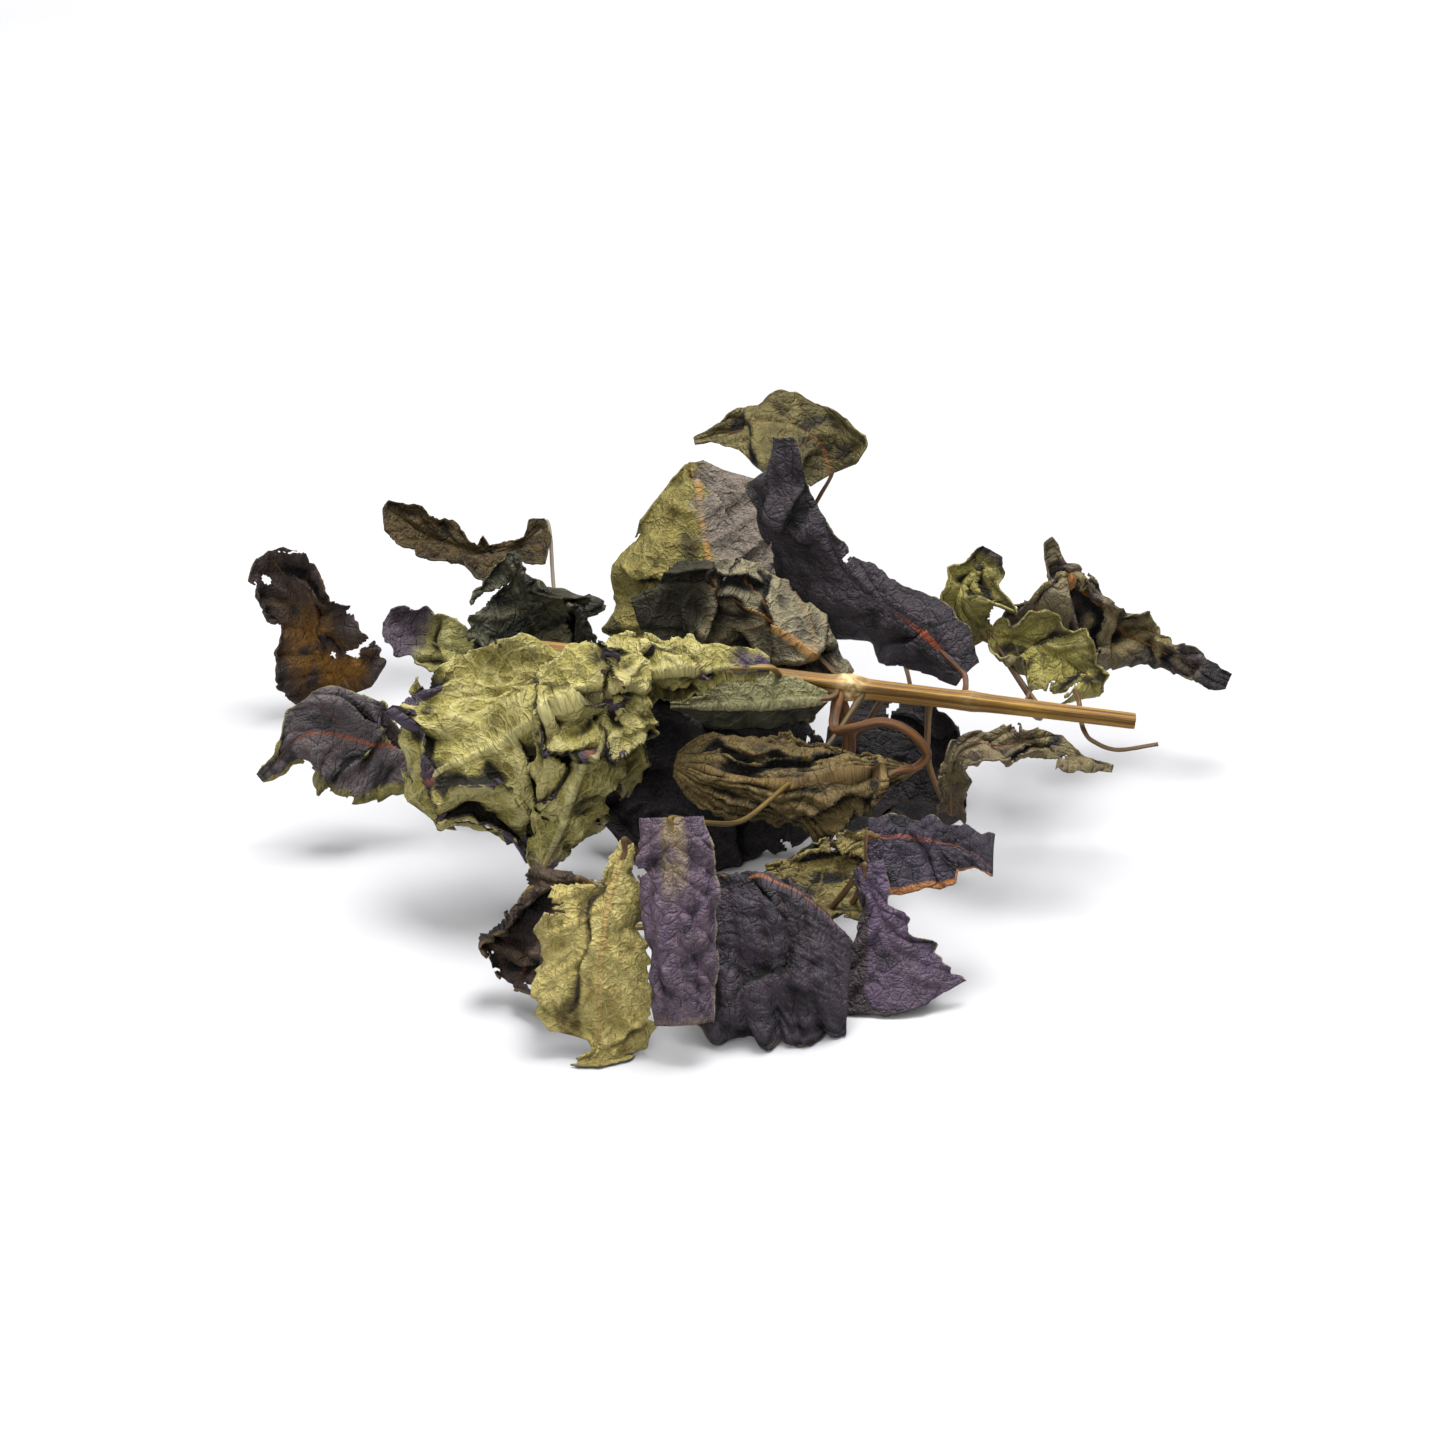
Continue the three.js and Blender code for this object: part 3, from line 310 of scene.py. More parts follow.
leaf("leaf_green_rolled", "moss", "leaf_dark_green", 21,
     stalk=[(12.4, -6.6, 4.2), (18.5, -11, 4.6), (21, -16.5, 9.5)],
     rib=[(18.3, -20.5, 12.4), (12, -22, 10.2), (5.4, -23, 9.8)],
     face=[(0, -0.3, 0.95)], left=(9, -25, -25, 40, 40), right=(6.5, 20, 20, 50, 50),
     uneven=(0.3, 0.4, 0.3, 0), rolls=0.6, tears=3, fibre=0.12, folds=4,
     left_edge=[(0, 3), (0.15, 7), (0.4, 9.5), (0.7, 7.5), (0.9, 3), (1, 0.8)],
     right_edge=[(0, 2), (0.2, 3), (0.5, 3), (1, 1)])
leaf("leaf_brown_curled", "dark_brown", "leaf_brown", 22,
     stalk=[(-0.8, -30.4, 2.5), (-8, -30, 7)],
     rib=[(-15.7, -33, 14.9), (-19.6, -34.5, 9.1), (-23.7, -36, 2.6)],
     face=[(-0.3, -0.6, 0.6), (-0.5, -0.6, 0.6)], left=(6, 10, 10, 50, 60), right=(7, 10, 10, 40, 60),
     uneven=(0.9, 0.6, 0.3, 0), crinkle=2.2, rolls=2.2, tears=12, folds=5, fold_height=1.5, teeth=1.5,
     left_edge=[(0, 2), (0.3, 6), (0.6, 6.5), (0.9, 5), (1, 2)],
     right_edge=[(0, 2), (0.2, 6), (0.5, 8), (0.8, 7), (1, 3)])
leaf("leaf_olive_back", "olive_brown", "leaf_olive", 23,
     stalk=[(21.6, -0.5, 21), (23.5, 9, 15), (20.5, 25, 17.5), (11, 33, 23.5)],
     rib=[(14, 37, 31.2), (11.9, 38.5, 35.4), (5.7, 39, 36.9), (-3.2, 38, 35.2)],
     face=[(0, -0.5, 0.85)], left=(5.5, 10, 10, 25, 20), right=(6, 15, 10, 30, 20),
     uneven=(0.6, 0.6, 0.3, 0), crinkle=0.8, rolls=0.9, tears=0, teeth=0.4, folds=2, fold_height=0.8,
     stalk_size=0.5,
     left_edge=[(0, 4), (0.2, 6.5), (0.4, 9.5), (0.55, 11.5), (0.7, 11), (0.76, 7), (0.82, 3.6), (0.9, 2),
                (1, 0.6)],
     right_edge=[(0, 4), (0.2, 6), (0.3, 5), (0.4, 4), (0.6, 4.6), (0.75, 3), (0.9, 1.5), (1, 0.6)])
leaf("leaf_green_upright", "tipped_moss", "leaf_green", 24,
     stalk=[(33, -1.3, 19.9), (37, 4, 17.5), (37.5, 14, 17.5)],
     rib=[(32.3, 13, 20.8), (29.6, 15, 25.2), (32.8, 17, 31.1)],
     face=[(-0.2, -0.9, 0.2)], left=(4.5, 10, 10, 30, 25), right=(4.5, 10, 10, 35, 30),
     uneven=(0.3, 0.4, 0.2, 0), crinkle=0.8, rolls=0.8, tears=2, stalk_size=0.5,
     left_edge=[(0, 2), (0.2, 4), (0.4, 3.6), (0.6, 3), (0.8, 2.8), (0.95, 1.8), (1, 1)],
     right_edge=[(0, 2), (0.2, 4.6), (0.4, 6), (0.6, 7.6), (0.76, 6.6), (0.8, 3.6), (0.9, 3), (1, 2)])
leaf("leaf_grey_right", "mixed_grey", "leaf_grey", 25,
     stalk=[(36, -1.4, 19.6), (39, 8, 13)],
     rib=[(34.5, 18, 16.6), (43.2, 22, 21.4), (53.4, 22, 15), (63, 19, 11.5)],
     face=[(0, -0.6, 0.8)], left=(8, 15, 15, 40, 30), right=(8, -10, -10, -40, -30), uneven=(1, 0.8, 0.3, 0),
     crinkle=1.9, rolls=1.4, tears=6, tear_depth=5, folds=10, fold_height=1.9, stalk_size=0.5,
     lips=[(12, 2, 60, -1.5, 6, 3), (20, -2, 110, -1.3, 6, 3)],
     left_edge=[(0, 2), (0.2, 4.6), (0.27, 4.5), (0.285, 8.5), (0.305, 8.5), (0.32, 4.6), (0.42, 3.2),
                (0.6, 2.2), (0.8, 2), (1, 0.9)],
     right_edge=[(0, 4), (0.1, 8), (0.2, 9), (0.4, 11), (0.5, 9.5), (0.58, 5.5), (0.64, 3.2), (0.8, 1.8),
                 (0.92, 2), (1, 0.8)])
leaf("leaf_green_cupped", "light_moss", "leaf_olive", 26,
     stalk=[(39, -1.5, 19.2), (38, 5, 17)],
     rib=[(32.8, 12.2, 22), (38.4, 11.4, 20.6), (43.4, 11, 18), (46.6, 10.6, 14.8)],
     face=[(0, -0.8, 0.6)], left=(6, 15, 15, 40, 40), right=(6.5, 15, 15, 30, 30), uneven=(0.5, 0.6, 0.3, 0),
     outline=(0.4, 0.7), ragged=0.2, crinkle=1.2, rolls=1.6, tears=6, stalk_size=0.5,
     spur=[(43, 7, 17), (43.1, 1.6, 18.6), (43.2, 0.2, 17.4), (43.6, -1.8, 16.5), (44.6, -2.8, 15.7),
           (47.5, -3.2, 14.7), (52.4, -3.2, 15.5)])
leaf("leaf_dark_corner", "amber", "leaf_dark", 27,
     stalk=[(-22.2, 2.2, 25.3), (-27, 5, 17), (-37, 20, 5)],
     rib=[(-46.8, 33, 1.8), (-51.3, 34, 10.6), (-56.9, 35, 21.2)],
     face=[(0, -0.95, 0.2)], left=(6.5, 5, 5, 40, 40), right=(7, 5, 5, 30, 40), uneven=(0.9, 0.6, 0.3, 0),
     crinkle=1.2, rolls=1.4, tears=6,
     holes=[(5, -3, 0.7), (6, -0.5, 0.4), (19, 2, 0.6)],
     left_edge=[(0, 2), (0.1, 7), (0.3, 8), (0.5, 8), (0.7, 6), (0.85, 5.5), (0.95, 4), (1, 2)],
     right_edge=[(0, 3), (0.1, 6), (0.2, 7), (0.3, 5.6), (0.4, 5.8), (0.6, 6), (0.8, 5.2), (0.95, 4),
                 (1, 2.4)])
leaf("leaf_green_small", "half", "leaf_olive", 28,
     stalk=[(-11.6, 1.4, 24.4), (-11.8, 9, 18), (-17, 18.5, 14)],
     rib=[(-30.2, 19, 14.6), (-35.8, 20, 16.6), (-41.1, 21, 19.7)],
     face=[(0, -0.8, 0.5)], left=(5, 5, 5, 30, 30), right=(4, 5, 5, 30, 30), uneven=(0.4, 0.4, 0.2, 0),
     crinkle=0.4, rolls=0.5, tears=1, stalk_size=0.5,
     left_edge=[(0, 2), (0.2, 3.6), (0.5, 4), (0.8, 3.6), (0.95, 2.4), (1, 1)],
     right_edge=[(0, 2), (0.2, 4), (0.5, 4.4), (0.8, 3.4), (0.95, 2.2), (1, 1)])
leaf("leaf_brown_far", "brown", "leaf_brown", 29,
     stalk=[(-9, 1.3, 24.2), (-9.5, 9, 14), (-13, 20, 9.5), (-20, 33, 10.5)],
     rib=[(-21.8, 44, 19.9), (-29.2, 44, 16.1), (-37, 45, 17.8), (-42.7, 45, 22.7)],
     face=[(0, -0.7, 0.7)], left=(4.5, 10, 10, 40, 40), right=(4.5, 10, 10, 40, 40),
     uneven=(0.5, 0.6, 0.2, 0), crinkle=0.7, rolls=0.8, tears=2, fibre=0.1, stalk_size=0.5,
     stalk_look="stalk_grey",
     left_edge=[(0, 2), (0.07, 6), (0.13, 5), (0.18, 3.4), (0.4, 5), (0.6, 5.2), (0.8, 5), (0.95, 2.8),
                (1, 0.8)],
     right_edge=[(0, 1.5), (0.07, 2), (0.13, 0.8), (0.25, 1), (0.35, 1.6), (0.38, 3.4), (0.41, 1.8),
                 (0.5, 2.8), (0.6, 3.4), (0.75, 3.6), (0.85, 2.4), (0.95, 1.6), (1, 0.8)])


# Numbers and curves

def random_from(seed):
    """Seeded random numbers from 0 to 1, the same as the solids draw."""
    state = seed * 7919

    def draw():
        nonlocal state
        state = (state * 16807 + 11) % 2147483647
        return state / 2147483647

    for _ in range(5):
        draw()
    return draw


def ease(t):
    return t * t * t * (t * (t * 6 - 15) + 10)


def noise(x, y, seed):
    """Smooth gradient noise, about -1 to 1, on numpy arrays."""
    x, y = np.broadcast_arrays(np.asarray(x, float), np.asarray(y, float))
    column, row = np.floor(x).astype(np.int64), np.floor(y).astype(np.int64)
    fx, fy = x - column, y - row

    def corner(dx, dy):
        mixed = (column + dx) * 374761393 + (row + dy) * 668265263 + seed * 974634777
        mixed = ((mixed ^ (mixed >> 13)) * 1274126177) & 0xFFFFFFFF
        mixed = mixed ^ (mixed >> 16)
        angle = (mixed & 65535) * (TURN / 65536)
        return np.cos(angle) * (fx - dx) + np.sin(angle) * (fy - dy)

    sx, sy = ease(fx), ease(fy)
    low = corner(0, 0) * (1 - sx) + corner(1, 0) * sx
    high = corner(0, 1) * (1 - sx) + corner(1, 1) * sx
    return 1.5 * (low * (1 - sy) + high * sy)


def smooth(low, high, x):
    t = np.clip((x - low) / (high - low), 0, 1)
    return t * t * (3 - 2 * t)


def bell(x, width):
    return np.exp(-((x / width) ** 2))


def creases(x):
    return np.arcsin(CREASE * np.sin(TURN * x)) / math.asin(CREASE)


def curve(points, t):
    """Points at shares t of a smooth curve through points, evenly shared out among its spans."""
    p = np.array(points, float)
    p = np.vstack([2 * p[0] - p[1], p, 2 * p[-1] - p[-2]])
    spans = len(p) - 3
    at = np.clip(np.asarray(t, float), 0, 1) * spans
    span = np.minimum(at.astype(int), spans - 1)
    w = (at - span)[:, None]
    a, b, c, d = p[span], p[span + 1], p[span + 2], p[span + 3]
    ta, tb = (c - a) / 2, (d - b) / 2
    return b + ta * w + (3 * (c - b) - 2 * ta - tb) * w**2 + (2 * (b - c) + ta + tb) * w**3


def unit(v):
    return v / np.maximum(np.linalg.norm(v, axis=-1, keepdims=True), 1e-9)


def tangents(points, t):
    return unit(curve(points, t + 1e-4) - curve(points, t - 1e-4))


def distances(line):
    """How far along a line each of its points lies."""
    return np.concatenate([[0], np.cumsum(np.linalg.norm(np.diff(line, axis=0), axis=1))])


def length_of(points):
    line = curve(points, np.linspace(0, 1, 200))
    return np.linalg.norm(np.diff(line, axis=0), axis=1).sum()


def fill(shape, *values):
    """Vectors over a grid of the given shape, from values that spread over it."""
    return np.stack([np.broadcast_to(value, shape) for value in values], -1)


# Meshes

class Build:
    """Quads and corners of one piece, with the values that its materials read at each corner."""

    def __init__(self):
        self.points, self.quads, self.place, self.traits, self.rib = [], [], [], [], []
        self.material, self.maps = [], []
        self.count = 0

    def add(self, points, quads, place, traits, rib, material, maps):
        self.points.append(points.reshape(-1, 3))
        self.quads.append(np.asarray(quads) + self.count)
        self.place.append(place.reshape(-1, 3))
        self.traits.append(traits.reshape(-1, 3))
        self.rib.append(rib.reshape(-1, 3))
        self.material.append(np.full(len(quads), material))
        self.maps.append(maps.reshape(-1, 2))
        self.count += len(self.points[-1])

    def piece(self, name, materials):
        """Makes the object of the piece."""
        points = (np.concatenate(self.points) - ORIGIN) * MM
        quads = np.concatenate(self.quads).astype(np.int32)
        mesh = bpy.data.meshes.new(name)
        mesh.vertices.add(len(points))
        mesh.vertices.foreach_set("co", points.astype(np.float32).ravel())
        mesh.loops.add(quads.size)
        mesh.loops.foreach_set("vertex_index", quads.ravel())
        mesh.polygons.add(len(quads))
        mesh.polygons.foreach_set("loop_start", np.arange(0, quads.size, 4, dtype=np.int32))
        mesh.polygons.foreach_set("material_index", np.concatenate(self.material).astype(np.int32))
        mesh.polygons.foreach_set("use_smooth", np.ones(len(quads), bool))
        for attribute, values in (("place", self.place), ("traits", self.traits), ("rib", self.rib)):
            made = mesh.attributes.new(attribute, "FLOAT_VECTOR", "POINT")
            made.data.foreach_set("vector", np.concatenate(values).astype(np.float32).ravel())
        layer = mesh.uv_layers.new(name="OFBake")
        layer.uv.foreach_set("vector", np.concatenate(self.maps).astype(np.float32).ravel())
        mesh.update(calc_edges=True)
        mesh.validate()
        for material in materials:
            mesh.materials.append(material)
        made = bpy.data.objects.new(name, mesh)
        bpy.context.scene.collection.objects.link(made)
        return made


def band(count, sides):
    """Quads between the rings of a tube."""
    index = np.arange(count * sides).reshape(count, sides)
    after = np.roll(index, -1, axis=1)
    return np.stack([index[:-1], after[:-1], after[1:], index[1:]], -1).reshape(-1, 4)


def band_maps(count, sides, low, high):
    """A strip of the texture map, from low to high, for the quads between the rings of a tube."""
    du, dv = 1 / (count - 1), 1 / sides
    u, v = np.meshgrid(np.arange(count - 1) * du, np.arange(sides) * dv, indexing="ij")
    corners = [(u, v), (u, v + dv), (u + du, v + dv), (u + du, v)]
    start, length = BAND_MAP
    return np.stack([np.stack([start + length * cu, low + (high - low) * cv], -1) for cu, cv in corners], 2)


def lid(ring):
    """Quads that close an even ring of corners."""
    k = np.arange(len(ring) // 2 - 1)
    return np.stack([ring[k], ring[k + 1], ring[-2 - k], ring[-1 - k]], -1)


def rings(line, a, b, radius, turn):
    """Rings of points round a line, in the plane of a and b."""
    aside = a[:, None] * (radius * np.cos(turn))[..., None]
    return line[:, None] + aside + b[:, None] * (radius * np.sin(turn))[..., None]


def rod(build, line, radius, sides, seed, strip):
    """A closed, lumpy rod along line, with a radius for each of its points."""
    forward = unit(np.gradient(line, axis=0))
    side = np.cross(forward[0], (0.3, 0.2, 0.93))  # any way that no rod starts
    sides_at = []
    for f in forward:
        side = unit(side - f * (side @ f))
        sides_at.append(side)
    a = np.array(sides_at)
    turn = np.arange(sides) * TURN / sides
    along = distances(line)[:, None]
    ridge = 1 + RIDGE_HEIGHT * np.cos(RIDGES * turn + seed)[None, :]
    ridge = ridge + LUMP_HEIGHT * noise(along / LUMP_LENGTH, np.cos(turn)[None, :] * 2 + seed, seed)
    r = radius[:, None] * ridge
    ring = rings(line, a, np.cross(forward, a), r, turn)
    ring[..., 2] = np.maximum(ring[..., 2], ROD_CLEARANCE)
    count = len(line)
    index = np.arange(count * sides).reshape(count, sides)
    lids = np.vstack([lid(index[0])[:, ::-1], lid(index[-1])])
    lid_maps = np.full((len(lids), 4, 2), LID_MAP)
    lid_maps[:, 1:3, 0] -= LID_SIZE
    lid_maps[:, 2:, 1] -= LID_SIZE
    maps = np.concatenate([band_maps(count, sides, *strip).reshape(-1, 2), lid_maps.reshape(-1, 2)])
    place = fill(r.shape, along, turn * radius.mean(), seed * 7.3)
    nothing = np.zeros(place.shape)
    build.add(ring, np.vstack([band(count, sides), lids]), place, nothing, nothing, 1, maps)


def shell(build, g, normal, above, below, keep, place, traits, rib):
    """A closed thin blade from a grid: above and below are how far its two sides lie off the points."""
    rows, columns = g.shape
    count = rows * columns
    index = np.arange(count).reshape(rows, columns)
    quads = np.stack([index[:-1, :-1], index[1:, :-1], index[1:, 1:], index[:-1, 1:]], -1)[keep]
    top = g.points + normal * above[..., None]
    bottom = g.points - normal * below[..., None]
    both = np.concatenate([top.reshape(-1, 3), bottom.reshape(-1, 3)])
    both[:, 2] = np.maximum(both[:, 2], BLADE_CLEARANCE)
    starts = quads.ravel()
    ends = np.roll(quads, -1, axis=1).ravel()
    bare = ~np.isin(starts * count + ends, ends * count + starts)
    e0, e1 = starts[bare], ends[bare]
    walls = np.stack([e1, e0, e0 + count, e1 + count], -1)
    row, column = np.divmod(quads, columns)
    across = SIDE_MAP[0] * (column / (columns - 1))
    along = MAP_EDGE + SIDE_MAP[1] * (row / (rows - 1))
    top_map = np.stack([MAP_EDGE + across, along], -1)
    bottom_map = np.stack([UNDERSIDE_MAP + across, along], -1)[:, ::-1]
    k = np.arange(len(e0)) / len(e0)
    step = 1 / len(e0)
    near, far = RIM_MAP
    wall_corners = ((step, near), (0, near), (0, far), (step, far))
    wall_map = np.stack([fill(k.shape, MAP_EDGE + RIM_LENGTH * (k + dx), y) for dx, y in wall_corners], 1)
    all_quads = np.concatenate([quads, quads[:, ::-1] + count, walls])
    maps = np.concatenate([top_map.reshape(-1, 2), bottom_map.reshape(-1, 2), wall_map.reshape(-1, 2)])
    used = np.unique(all_quads)
    renumber = np.zeros(2 * count, np.int64)
    renumber[used] = np.arange(len(used))
    place, traits, rib = (np.tile(values.reshape(-1, 3), (2, 1)) for values in (place, traits, rib))
    traits[count:, 2] *= -1
    build.add(both[used], renumber[all_quads], place[used], traits[used], rib[used], 0, maps)


def largest_patch(keep):
    """The largest joined patch of a grid of kept quads."""
    best, seen = [], np.zeros(keep.shape, bool)
    rows, columns = keep.shape
    for start in zip(*np.nonzero(keep)):
        if seen[start]:
            continue
        patch, todo = [], [start]
        seen[start] = True
        while todo:
            i, j = todo.pop()
            patch.append((i, j))
            for p in ((i + 1, j), (i - 1, j), (i, j + 1), (i, j - 1)):
                if 0 <= p[0] < rows and 0 <= p[1] < columns and keep[p] and not seen[p]:
                    seen[p] = True
                    todo.append(p)
        if len(patch) > len(best):
            best = patch
    made = np.zeros(keep.shape, bool)
    made[tuple(np.array(best).T)] = True
    return made


# Leaves

def above_floor(z):
    """Heights that level off smoothly where they would go below the floor."""
    low = BLADE_THICKNESS / 2
    over = z - low
    return np.where(over > FLOOR_BEND, z, low + np.maximum(over + FLOOR_BEND, 0) ** 2 / (4 * FLOOR_BEND))


def outline_at(exponents, u):
    """A half blade's width at shares of its midrib, as a share of the widest."""
    base, tip = exponents
    top = base / (base + tip)
    return u**base * (1 - u) ** tip / (top**base * (1 - top) ** tip)


def margin_line(leaf, side, u, along, draw, seed):
    """A side's half width in mm at each row: its edge, or the solid's, with finer teeth and tears."""
    if leaf[side + "_edge"]:
        base = np.interp(u, *zip(*leaf[side + "_edge"]))
    else:
        width = leaf[side][0]
        shares = [1 - TOOTH / width / 2 - leaf["ragged"] * draw() for _ in range(CAD_ROWS + 1)]
        base = np.interp(u, np.linspace(0, 1, CAD_ROWS + 1), shares) * width * outline_at(leaf["outline"], u)
    number = along / TOOTH_SPACING + 0.5 * noise(along / 5, 0, seed)
    saw = number - np.floor(number)
    size = 0.6 + 0.5 * noise(np.floor(number) * 0.7, 3, seed + 1)
    teeth = leaf["teeth"] * size * (saw**1.4 * smooth(1.0, 0.86, saw) - 0.45)
    torn = 0.5 * noise(along / 3.2, 7, seed + 2) + 0.12 * noise(along / 0.9, 9, seed + 3)
    torn = torn - 1.6 * np.maximum(noise(along / 3.7, 5, seed + 4) - 0.35, 0)
    torn = torn * min(1, 0.2 + leaf["teeth"])
    return np.maximum(base + (teeth + torn) * np.minimum(1, base / 3), LEAST_HALF_WIDTH)


def summed(x):
    """The running sum of x across a half blade of width 1, from its midrib out."""
    step = 1 / (x.shape[1] - 1)
    return np.pad(np.cumsum((x[:, 1:] + x[:, :-1]) / 2 * step, axis=1), ((0, 0), (1, 0)))


def half_blade(leaf, side, wide, up, forward, t, along, columns):
    """Half a blade, from its midrib out: its points, and the ways that its surface and its left face."""
    _, fold_base, fold_tip, curl_base, curl_tip = leaf[side]
    sign = 1 if side == "left" else -1
    seed = leaf["seed"] + 13 * sign
    reach = np.linspace(0, 1, columns + 1)[None, :]
    turned = leaf["rolls"] * (1.7 * noise(along / 9, 3.3, seed) + 0.25 * noise(along / 3.5, 5.7, seed + 1))
    fold = fold_base + (fold_tip - fold_base) * t
    curl = curl_base + (curl_tip - curl_base) * t
    angle = np.radians(fold + curl * reach) + turned * smooth(0.5, 1.05, reach) ** 1.3
    cosine, sine = np.cos(angle), np.sin(angle)
    out, rise = summed(cosine) * wide, summed(sine) * wide
    outward = (sign * np.cross(up, forward))[:, None]
    up = up[:, None]
    c, s = cosine[..., None], sine[..., None]
    points = outward * out[..., None] + up * rise[..., None]
    return points, up * c - outward * s, sign * (outward * c + up * s)


def spots(g, size, offset, across=None):
    """Noise over a blade, with spots of a size along and across it."""
    return noise(g.along / size, g.across / (across or size), g.seed + offset)


def grid_of(leaf):
    """The grid of a blade before it crumples. Its rows run from base to tip and its columns from the right
    margin to the left. u and v are a corner's shares of them, along and across its place on the flat blade,
    and reach is how far out it lies from midrib to margin. Every noise has its own seed, counted from the
    leaf's."""
    seed = leaf["seed"]
    g = SimpleNamespace(seed=seed, length=length_of(leaf["rib"]), wide={})
    rows = int(g.length / GRID_STEP)
    edges = leaf["left_edge"] + leaf["right_edge"]
    g.widest = max([leaf["left"][0], leaf["right"][0]] + [wide for _, wide in edges])
    g.columns = int(g.widest / GRID_STEP)
    g.shape = (rows + 1, 2 * g.columns + 1)
    t = np.linspace(0, 1, rows + 1)
    g.u = t[:, None]
    g.v = np.linspace(-1, 1, g.shape[1])[None, :]
    origin = curve(leaf["rib"], t)
    g.forward = tangents(leaf["rib"], t)
    up = curve(leaf["face"] * 2 if len(leaf["face"]) == 1 else leaf["face"], t)
    up = unit(up - g.forward * (up * g.forward).sum(1, keepdims=True))
    steps = distances(origin)

    # The leaf's own random choices, drawn as the solids draw them
    draw = random_from(seed)
    g.waves = []
    for wave, share in CRUMPLES:
        heading = math.pi * draw()
        g.waves.append((wave, share, math.cos(heading), math.sin(heading), draw()))
    phases = {"left": draw(), "right": draw()}

    halves = {}
    for side, offset in (("left", 40), ("right", 80)):
        g.wide[side] = margin_line(leaf, side, t, steps, draw, seed + offset)[:, None]
        halves[side] = half_blade(leaf, side, g.wide[side], up, g.forward, g.u, steps[:, None], g.columns)
    points, g.normal, g.leftward = (np.concatenate([right[:, :0:-1], left], axis=1)
                                    for left, right in zip(halves["left"], halves["right"]))
    g.points = points + origin[:, None]
    g.reach = np.broadcast_to(np.abs(g.v), g.shape)
    g.width, g.phase = (np.where(g.v >= 0, both["left"], both["right"]) for both in (g.wide, phases))
    g.along = np.broadcast_to(steps[:, None], g.shape)
    g.across = g.v * g.width
    g.veins = VEIN_PAIRS * (g.u - VEIN_SLANT * g.reach) + 0.14 * spots(g, 5, 5)
    g.spacing = g.length / VEIN_PAIRS
    g.beside = np.abs(g.veins - np.round(g.veins)) * g.spacing
    return g


def crumple(leaf, g):
    """How far a blade lifts off its smooth surface, as its solid does."""
    height, ruffle, pleat, gather = leaf["uneven"]
    cad_across = g.v * np.where(g.v >= 0, leaf["left"][0], leaf["right"][0])
    lift = np.zeros(g.shape)
    for wave, share, a, c, at in g.waves:
        lift += height * share * creases((g.u * g.length * a + cad_across * c) / wave + at)
    lift += ruffle * g.reach**2 * np.sin(TURN * (RUFFLES * g.u + g.phase))
    lift += pleat * np.abs(np.sin(math.pi * g.veins)) * np.minimum(1, 4 * g.reach)
    return lift + gather * creases(GATHERS * g.reach + g.phase) * np.minimum(1, 3 * g.reach)


def crinkle(leaf, g):
    """The finer lift of warped creases, veins and fibres, and the part of it that sets painted shade in
    its hollows and a painted highlight on its crests.
    """
    a = g.along + WARP * spots(g, WARP_SIZE, 6)
    c = g.across + WARP * spots(g, WARP_SIZE, 7)
    octaves = [height * leaf["shows"] * (0.3 - np.abs(noise(a / size, c / size, g.seed + 8 + k)))
               for k, (size, height) in enumerate(FINE_CREASES)]
    small = sum(octaves[1:])
    fine = leaf["crinkle"] * (0.3 + 0.7 * smooth(0, 0.3, g.reach)) * (octaves[0] + small)
    fine += 0.2 * min(1, leaf["crinkle"]) * smooth(0, 0.7, g.beside) * smooth(0, 0.8, np.abs(g.across))
    if leaf["fibre"]:
        bent = g.widest * g.v + 1.6 * spots(g, 9, 12, across=5)
        fibres = 1 - 3 * np.abs(noise(g.along / 16, bent / 1.9, g.seed + 15))
        fibres = fibres + 0.5 - 1.6 * np.abs(noise(g.along / 9, bent / 0.8, g.seed + 16))
        fine += leaf["fibre"] * fibres
        small = small + 0.3 * fibres
    return fine, small


def lips_of(leaf, g):
    """The overlapping folds of a blade: those of the table and its random ones."""
    draw = random_from(g.seed + 90)
    lips = list(leaf["lips"])
    for _ in range(leaf["folds"]):
        along = g.length * (0.15 + 0.75 * draw())
        row = int(along / g.length * (g.shape[0] - 1))
        left, right = g.wide["left"][row, 0], g.wide["right"][row, 0]
        across = (left if draw() < 0.5 else -right) * (0.1 + 0.8 * draw())
        towards = leaf["shows"] if draw() < 0.75 else -leaf["shows"]
        room = min(1, (left + right) / ROOM_FOR_FOLDS)
        heading = 360 * draw()
        height = towards * room * leaf["fold_height"] * (0.6 + 0.7 * draw())
        lips.append((along, across, heading, height, 2.5 + 5 * draw(), 1.5 + 2.5 * draw()))
    return lips


